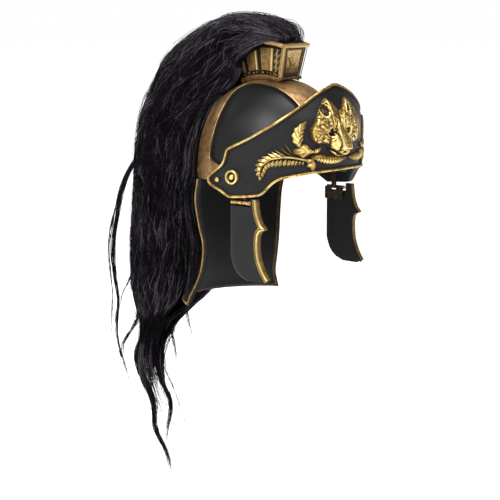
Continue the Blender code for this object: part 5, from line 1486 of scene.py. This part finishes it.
def draw_strands(rng, table, lengths, count, ends, clumps, scatter, bias, points=14):
    """Paths of strands that rise from the crest box and end near the given marks."""
    around = rng.uniform(-1, 1, count)
    near_surface = rng.uniform(size=count) < bias
    depth = np.where(near_surface, rng.uniform(0.88, 1.0, count), rng.uniform(0.25, 0.9, count))
    leg = np.clip((np.abs(around) - 0.6) / 0.4, 0, 1)
    level = depth * (0.5 + 0.5 * np.cos(np.clip(np.abs(around) / 0.6, 0, 1) * np.pi / 2)) * (1 - 0.4 * leg)
    leg_root = rng.uniform(0.15, 0.9, count)
    root = np.where(leg > 0, leg_root, np.clip(1 - level + rng.uniform(-0.05, 0.30, count), 0, 0.95))
    centre = np.stack([rng.uniform(-1, 1, clumps), rng.uniform(0.5, 1.0, clumps)], -1)
    gap = (around[:, None] - centre[None, :, 0])**2 + 0.3 * (depth[:, None] - centre[None, :, 1])**2
    chosen = np.argmin(gap + rng.uniform(0, 0.01, gap.shape), axis=1)
    end = rng.uniform(*ends, clumps)[chosen] + rng.normal(0, scatter, count)
    box_length = np.interp(1.0, table[:, 7], lengths)
    begin = np.interp(root, table[:, 7], lengths) + 0.4
    end = np.clip(end, begin + 8, lengths[-1])
    marks = begin[:, None] + (end - begin)[:, None] * np.linspace(0, 1, points)[None, :]
    gone = marks - begin[:, None]
    pull = smooth_step(box_length * 1.3, lengths[-1] * 0.62, marks) * 0.5
    phase = rng.uniform(0, 2 * np.pi, (count, 5))
    group = rng.uniform(0, 2 * np.pi, (clumps, 2))[chosen]
    loose = smooth_step(2, 30, gone)
    drift = rng.normal(0, 0.10, (count, 1)) * smooth_step(0, 60, gone)
    b = around[:, None] + (centre[chosen, 0] - around)[:, None] * pull + drift
    b = b + loose * (0.035 * np.sin(marks / 5.0 + phase[:, :1]) + 0.020 * np.sin(marks / 2.2 + phase[:, 1:2])
                     + 0.055 * np.sin(marks / 10 + group[:, :1]))
    d = depth[:, None] + (centre[chosen, 1] - depth)[:, None] * pull * 0.5
    d = d + loose * (0.050 * np.sin(marks / 7.0 + phase[:, 2:3]) + 0.025 * np.sin(marks / 2.9 + phase[:, 3:4])
                     + 0.040 * np.sin(marks / 14 + group[:, 1:]))
    places = hair_places(table, lengths, marks, np.clip(b, -1, 1), np.clip(d, 0.02, 1.03))
    start = hair_places(table, lengths, begin, 0 * begin, 0 * begin)
    start[:, 0] = np.clip(places[:, 4, 0], -1, 1) * rng.uniform(0.2, 3.7, count)
    inner = np.stack([np.interp(begin, lengths, table[:, k]) for k in (0, 1)], -1)
    start[:, 1:] = inner - 0.4 * unit(inner - [0, bowl_centre])
    rise = smooth_step(0, rng.uniform(4, 9, count)[:, None], gone)[..., None]
    places = start[:, None] * (1 - rise) + places * rise
    places[..., 2] += (4 * rise * (1 - rise))[..., 0] * 0.3
    return places


def make_core(table, lengths):
    """The dark heart of the hair, a little inside its outer strands."""
    low = np.interp(46.0, -table[:, 1], lengths)
    marks = np.linspace(lengths[0] + 3.0, low, 64)[:, None]
    around = np.linspace(-1, 1, 72)[None, :]
    grooves = 1 - 0.05 * (0.5 + 0.5 * np.sin(around * 70))
    surface = hair_places(table, lengths, *arrays(marks, around, 0.84 * grooves))
    back = np.concatenate([np.linspace(1, 0.62, 10), np.linspace(-0.62, -1, 10)])[None, :]
    heart = hair_places(table, lengths, *arrays(marks, back, 0.10))
    sections = np.concatenate([surface, heart], 1)
    tail = smooth_step(0.80, 1.0, np.linspace(0, 1, len(marks)))[:, None, None]
    centre = sections.mean(1, keepdims=True)
    sections = centre + (sections - centre) * (1 - 0.75 * tail)
    Form().loft(sections, 0.0, 0.1).make("hair_core", hair_dark, "black_hair", "helmet", ["plume"], 0)


def surface_strands(rng, table, lengths, count, bunch, points=12):
    """Short wavy strands on the hair's surface, in loose bunches; they catch the light one by one."""
    bunches = count // bunch
    low = np.interp(70.0, -table[:, 1], lengths)
    centre = np.stack([low * rng.uniform(0.01, 1, bunches)**1.25, rng.uniform(-1, 1, bunches)], -1)
    chosen = rng.integers(0, bunches, count)
    begin = np.clip(centre[chosen, 0] + rng.normal(0, 2.5, count), 0.5, low)
    around = centre[chosen, 1] + rng.normal(0, 0.035, count)
    calm = 1 - 0.65 * smooth_step(0.5, 0.7, np.abs(around))
    lean = calm * (rng.normal(0, 0.09, bunches)[chosen] + rng.normal(0, 0.09, count))
    share = np.linspace(0, 1, points)[None, :]
    marks = np.minimum(begin[:, None] + rng.uniform(4, 10, count)[:, None] * share, lengths[-1])
    phase = rng.uniform(0, 2 * np.pi, (count, 4))
    pitch = rng.uniform(0.75, 1.35, (count, 1))
    size = rng.uniform(0.35, 1.0, (count, 1)) * calm[:, None]
    sway = 0.010 * np.sin(marks * pitch + phase[:, :1]) + 0.004 * np.sin(marks * pitch * 2.5 + phase[:, 1:2])
    b = around[:, None] + lean[:, None] * share + size * sway
    ends = smooth_step(0, 0.15, share) * (1 - smooth_step(0.85, 1.0, share))
    d = rng.uniform(0.95, 1.03, (count, 1)) - 0.10 * (1 - ends)
    d = d + 0.015 * size * np.sin(marks * 1.4 + phase[:, 2:3])
    return hair_places(table, lengths, marks, np.clip(b, -1, 1), d)


def draw_fuzz(rng, table, lengths, count, length, lift, reach, points=10):
    """Stray strands over the hair's surface; they cross its flow and part from it."""
    begin = rng.uniform(2, np.interp(48.0, -table[:, 1], lengths), count)
    around = rng.uniform(-reach, reach, count)
    span = rng.uniform(*length, count)
    share = np.linspace(0, 1, points)[None, :]
    marks = begin[:, None] + span[:, None] * share
    phase = rng.uniform(0, 2 * np.pi, (count, 2))
    b = around[:, None] + rng.normal(0, 0.14, count)[:, None] * share
    b = np.clip(b + 0.03 * np.sin(share * 9 + phase[:, :1]), -1, 1)
    rise = rng.uniform(*lift, count)[:, None] * np.sin(share * rng.uniform(1.6, 3.1, count)[:, None])**2
    inner = hair_places(table, lengths, marks, b, 0.55 + 0 * b)
    outer = hair_places(table, lengths, marks, b, 0.97 + 0.02 * np.sin(share * 11 + phase[:, 1:]))
    return outer + unit(outer - inner) * rise[..., None]


def side_strands(rng, side, count, points=15):
    """Strands that fall behind the cross band, over the bowl and one side of the neck guard."""
    share = np.linspace(0, 1, points)[None, :]
    phase = rng.uniform(0, 2 * np.pi, (count, 4))
    bearing = rng.uniform(0, 1, (count, 1))**1.3
    behind = cross_back - 0.6 + 8.0 * bearing + 0.35 * np.sin(share * 9 + phase[:, :1])
    high = bowl_centre + bowl_half_height * np.sqrt(1 - (behind[:, :1] / bowl_half_length)**2) - 0.3
    high = high - rng.uniform(0, 12, (count, 1)) * rng.integers(0, 2, (count, 1))
    low = rim_z - neck_drop * rng.uniform(0.45, 1.08, (count, 1))
    level = high + (low - high) * share
    tall = np.clip((level - bowl_centre) / bowl_half_height, -0.2, 0.999)
    y = np.minimum(behind, 0.998 * bowl_half_length * np.sqrt(1 - tall**2))
    lift = rng.uniform(0.5, 1.9, (count, 1)) + 0.30 * np.sin(share * 8 + phase[:, 1:2])
    upper = on_bowl(bowl_side(y, np.maximum(level, rim_z), side), seat_gap + band_rise + lift)
    upper[..., 2] = np.minimum(upper[..., 2], level + lift)
    down = np.clip((rim_z - seat_gap - level) / neck_drop, 0, 1)
    turn = 0.95 - 0.72 * bearing + 0.028 * np.sin(share * 9 + phase[:, 2:3])
    turn = side * np.clip(turn + 0.014 * np.sin(share * 22 + phase[:, 3:]), 0.0, 0.96)
    lower = neck_face(turn, down) + neck_normal(turn, down) * (0.3 + lift)[..., None]
    lower[..., 2] = np.minimum(level, lower[..., 2])
    lower[..., 0] -= side * 2.0 * smooth_step(0.85, 1.0, share)
    blend = smooth_step(rim_z + 3.0, rim_z - 3.0, level)[..., None]
    return upper * (1 - blend) + lower * blend


def front_wisps(rng, table, lengths, count, points=10):
    """Short strands that rise from the box's front lip and lean back over the hair."""
    across = rng.uniform(-0.85, 0.85, count)
    angle = crest_front_angle + rng.uniform(0.3, 1.6, count)
    start = crest_place(across * crest_top_half, angle, crest_height - 0.2)
    marks = rng.uniform(4, 20, count)
    end = hair_places(table, lengths, marks, np.clip(across * 0.5 + rng.normal(0, 0.1, count), -0.6, 0.6),
                      1.0 + rng.uniform(-0.02, 0.05, count))
    share = np.linspace(0, 1, points)[None, :, None]
    bow = np.stack([0 * across, -rng.uniform(0.4, 2.2, count), rng.uniform(0.8, 2.4, count)], -1)
    pitch = rng.uniform(8, 16, count)[:, None]
    wave = 0.12 * np.sin(share[..., 0] * pitch + rng.uniform(0, 6, count)[:, None])
    paths = start[:, None] * (1 - share) + end[:, None] * share + bow[:, None] * np.sin(np.pi * share**0.75)
    paths[..., 0] += wave
    return paths


def lock_spine(table, lengths, across, knots):
    """The middle of a loose lock through its knots, led out of the hair above it."""
    base = plume_inner(rim_z)
    knots = np.array([(across * plume_half_width, base + y * plume_depth, -drop * plume_drop)
                      for y, drop in knots])
    marks, around = np.meshgrid(np.linspace(20, lengths[-1], 90), np.linspace(-1, 1, 61), indexing="ij")
    spots = hair_places(table, lengths, marks, around, 0.92 + 0 * marks)
    at = np.unravel_index(np.argmin(np.linalg.norm(spots - knots[0], axis=-1)), marks.shape)
    ahead = np.maximum(marks[at] - np.array([26.0, 18.0, 10.0]), 3.0)
    lead = hair_places(table, lengths, ahead, np.full(3, around[at]), np.full(3, 0.95))
    return relax(resample(curve_through(np.vstack([lead, knots]), 8), 32), 1)


def lock_strands(rng, spine, radius, count, wave):
    """Wavy strands that follow a lock and part a little from each other."""
    points = len(spine)
    along = np.linspace(0, 1, points)
    size = radius * (0.7 + 0.5 * np.sin(np.pi * np.minimum(1, along * 1.4))) * (1 - 0.5 * along**2)
    cut = 1 - rng.beta(0.8, 3.5, count) * 0.5
    begin = rng.uniform(0, 0.15, count)
    share = begin[:, None] + (cut - begin)[:, None] * along[None, :]
    middle = np.stack([np.interp(share, along, spine[:, k]) for k in range(3)], -1)
    room = np.interp(share, along, size)
    turn, out = rng.uniform(0, 2 * np.pi, count), np.sqrt(rng.uniform(0, 1.5, count))
    phase = rng.uniform(0, 2 * np.pi, (count, 6))
    parted = smooth_step(0.15, 0.5, share) * wave
    for axis, side, k in ((0, np.cos(turn), 0), (1, np.sin(turn), 3)):
        sway = np.sin(share * 24 + phase[:, k:k + 1]) + 0.5 * np.sin(share * 61 + phase[:, k + 1:k + 2])
        stray = np.sin(share * 9 + phase[:, k + 2:k + 3]) * (phase[:, 5:] > 5.2)
        middle[..., axis] += room * (out * side)[:, None] + parted * (sway + 2.5 * stray)
    return middle


# Loose locks: place across, radius, strands, wave, then knots of how far behind and how far down
LOCKS = [
    (-0.527, 0.8, 60, 0.12, [
        (-0.08, 0.234), (-0.078, 0.303), (-0.137, 0.348), (-0.18, 0.417), (-0.133, 0.464),
        (-0.009, 0.526), (0.147, 0.577)]),
    (-0.27, 0.55, 34, 0.1, [
        (1.215, 0.26), (1.39, 0.383), (1.43, 0.457), (1.37, 0.533), (1.305, 0.572),
        (1.375, 0.603), (1.35, 0.677), (1.25, 0.723), (1.125, 0.788)]),
    (-0.3, 0.25, 8, 0.14, [
        (1.235, 0.268), (1.455, 0.399), (1.475, 0.47), (1.42, 0.556), (1.45, 0.636),
        (1.41, 0.717)]),
    (-0.36, 0.7, 36, 0.16, [
        (0.99, 0.522), (0.93, 0.589), (1.1, 0.642), (1.235, 0.681), (1.21, 0.727)]),
    (-0.18, 0.45, 18, 0.16, [
        (0.91, 0.592), (0.995, 0.638), (1.065, 0.694), (1.01, 0.737)]),
    (-0.27, 0.42, 16, 0.08, [
        (1.07, 0.463), (1.135, 0.508), (1.27, 0.551), (1.305, 0.596)]),
    (-0.23, 1.0, 105, 0.2, [
        (0.81, 0.617), (1.01, 0.682), (1.03, 0.722), (0.885, 0.767), (0.755, 0.822),
        (0.76, 0.882), (0.57, 0.924), (0.475, 0.989)]),
    (-0.09, 0.85, 75, 0.2, [
        (0.75, 0.628), (0.755, 0.711), (0.695, 0.764), (0.535, 0.803), (0.57, 0.853),
        (0.64, 0.895), (0.61, 0.929)]),
    (0.09, 0.3, 8, 0.16, [
        (0.735, 0.687), (0.735, 0.736), (0.625, 0.77), (0.405, 0.852), (0.31, 0.915)]),
    (0.3, 0.9, 30, 0.2, [
        (0.66, 0.42), (0.75, 0.53), (0.72, 0.64), (0.6, 0.74)]),
    (0.5, 0.8, 24, 0.2, [
        (0.5, 0.4), (0.58, 0.5), (0.56, 0.6), (0.42, 0.68)])]


def make_hair():
    table, lengths = dense_rows(plume_rows())
    make_core(table, lengths)
    rng = np.random.default_rng(11)
    ends = [np.interp(drop, -table[:, 1], lengths) for drop in (50.0, 76.0)]
    for number in (1, 2):
        paths = draw_strands(rng, table, lengths, 1200, ends, 60, 2.2, 0.75)
        make_strands(f"hair_mass_{number}", hair, paths, rng.uniform(0.06, 0.11, len(paths)),
                     0.30 * rng.beta(1.2, 3.0, len(paths)))
    for number in (1, 2):
        paths = surface_strands(rng, table, lengths, 1950, 2)
        tone = rng.beta(0.9, 2.2, len(paths))
        radius = 0.038 + 0.022 * rng.uniform(size=len(paths)) + 0.03 * tone
        make_strands(f"hair_strands_{number}", hair_shine, paths, radius, tone)
    paths = np.concatenate([draw_fuzz(rng, table, lengths, 760, (4, 12), (0.15, 0.9), 1.0),
                            draw_fuzz(rng, table, lengths, 110, (22, 44), (0.4, 1.5), 0.26),
                            front_wisps(rng, table, lengths, 90)])
    make_strands("hair_fuzz", hair, paths, rng.uniform(0.035, 0.065, len(paths)),
                 rng.beta(1.2, 2.4, len(paths)))
    for name, count, material, glow in (("hair_sides", 310, hair, 0.3),
                                        ("hair_side_strands", 90, hair_shine, 1.0)):
        paths = np.concatenate([side_strands(rng, side, count) for side in (-1, 1)])
        make_strands(name, material, paths, rng.uniform(0.04, 0.08, len(paths)),
                     glow * rng.beta(0.9, 2.2, len(paths)))
    paths = np.concatenate([lock_strands(rng, lock_spine(table, lengths, across, knots), radius, count, wave)
                            for across, radius, count, wave, knots in LOCKS])
    make_strands("hair_locks", hair, paths, rng.uniform(0.05, 0.09, len(paths)),
                 rng.beta(1.0, 2.6, len(paths)))
    ends = [lengths[-1] * share for share in (0.84, 0.97)]
    paths = draw_strands(rng, table, lengths, 130, ends, 8, 4.0, 0.3, 28)
    make_strands("hair_tail", hair, paths, rng.uniform(0.05, 0.09, len(paths)),
                 rng.beta(1.0, 2.6, len(paths)))


# Hinges keep their CAD solids

def dress_hinges():
    for side in ("right", "left"):
        for node, material in ((f"helmet_hinge_{side}", hinge_metal), (f"guard_hinge_{side}", hinge_metal),
                               (f"hinge_pin_{side}", steel)):
            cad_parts[node].data.materials.clear()
            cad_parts[node].data.materials.append(material)


make_camera()
make_stage()
black = black_material()
gold = gold_material("antique_gold", (0.52, 0.32, 0.085), (0.33, 0.185, 0.040), (0.13, 0.070, 0.017),
                     (0.92, 0.74, 0.30), (1, 1, 1))
bronze = gold_material("dull_gold", (0.34, 0.205, 0.090), (0.25, 0.140, 0.055), (0.12, 0.064, 0.024),
                       (0.48, 0.33, 0.16), (1, 0.25, 1), (0.016, 0.011, 0.007), 0.62)
bead_gold = gold_material("line_gold", (0.50, 0.33, 0.14), (0.29, 0.175, 0.065), (0.11, 0.065, 0.024),
                          (0.90, 0.70, 0.34), (1, 1, 1))
bronze_bright = gold_material("crest_gold", (0.42, 0.250, 0.082), (0.27, 0.152, 0.048), (0.10, 0.056, 0.018),
                              (0.82, 0.60, 0.27), (1, 1, 0.3), metallic=0.75)
# The light ends of these hair colours are a painted sheen on the strands.
hair = hair_material("black_hair", (0.0016, 0.0013, 0.0018), (0.060, 0.050, 0.066), 0.45, 0.015)
hair_shine = hair_material("shiny_hair", (0.0030, 0.0025, 0.0034), (0.200, 0.170, 0.215), 0.32, 0.12)
hair_dark = hair_material("hair_shadow", (0.0012, 0.001, 0.0013), (0.003, 0.0027, 0.003), 0.6, 0.01)
hinge_metal = hinge_material()
steel = pin_material()
make_bowl()
make_bands()
make_brow()
make_head()
for hand in (-1, 1):
    make_spray(hand)
    make_bosses(hand)
    make_cheek(hand)
make_neck()
make_crest()
make_hair()
dress_hinges()
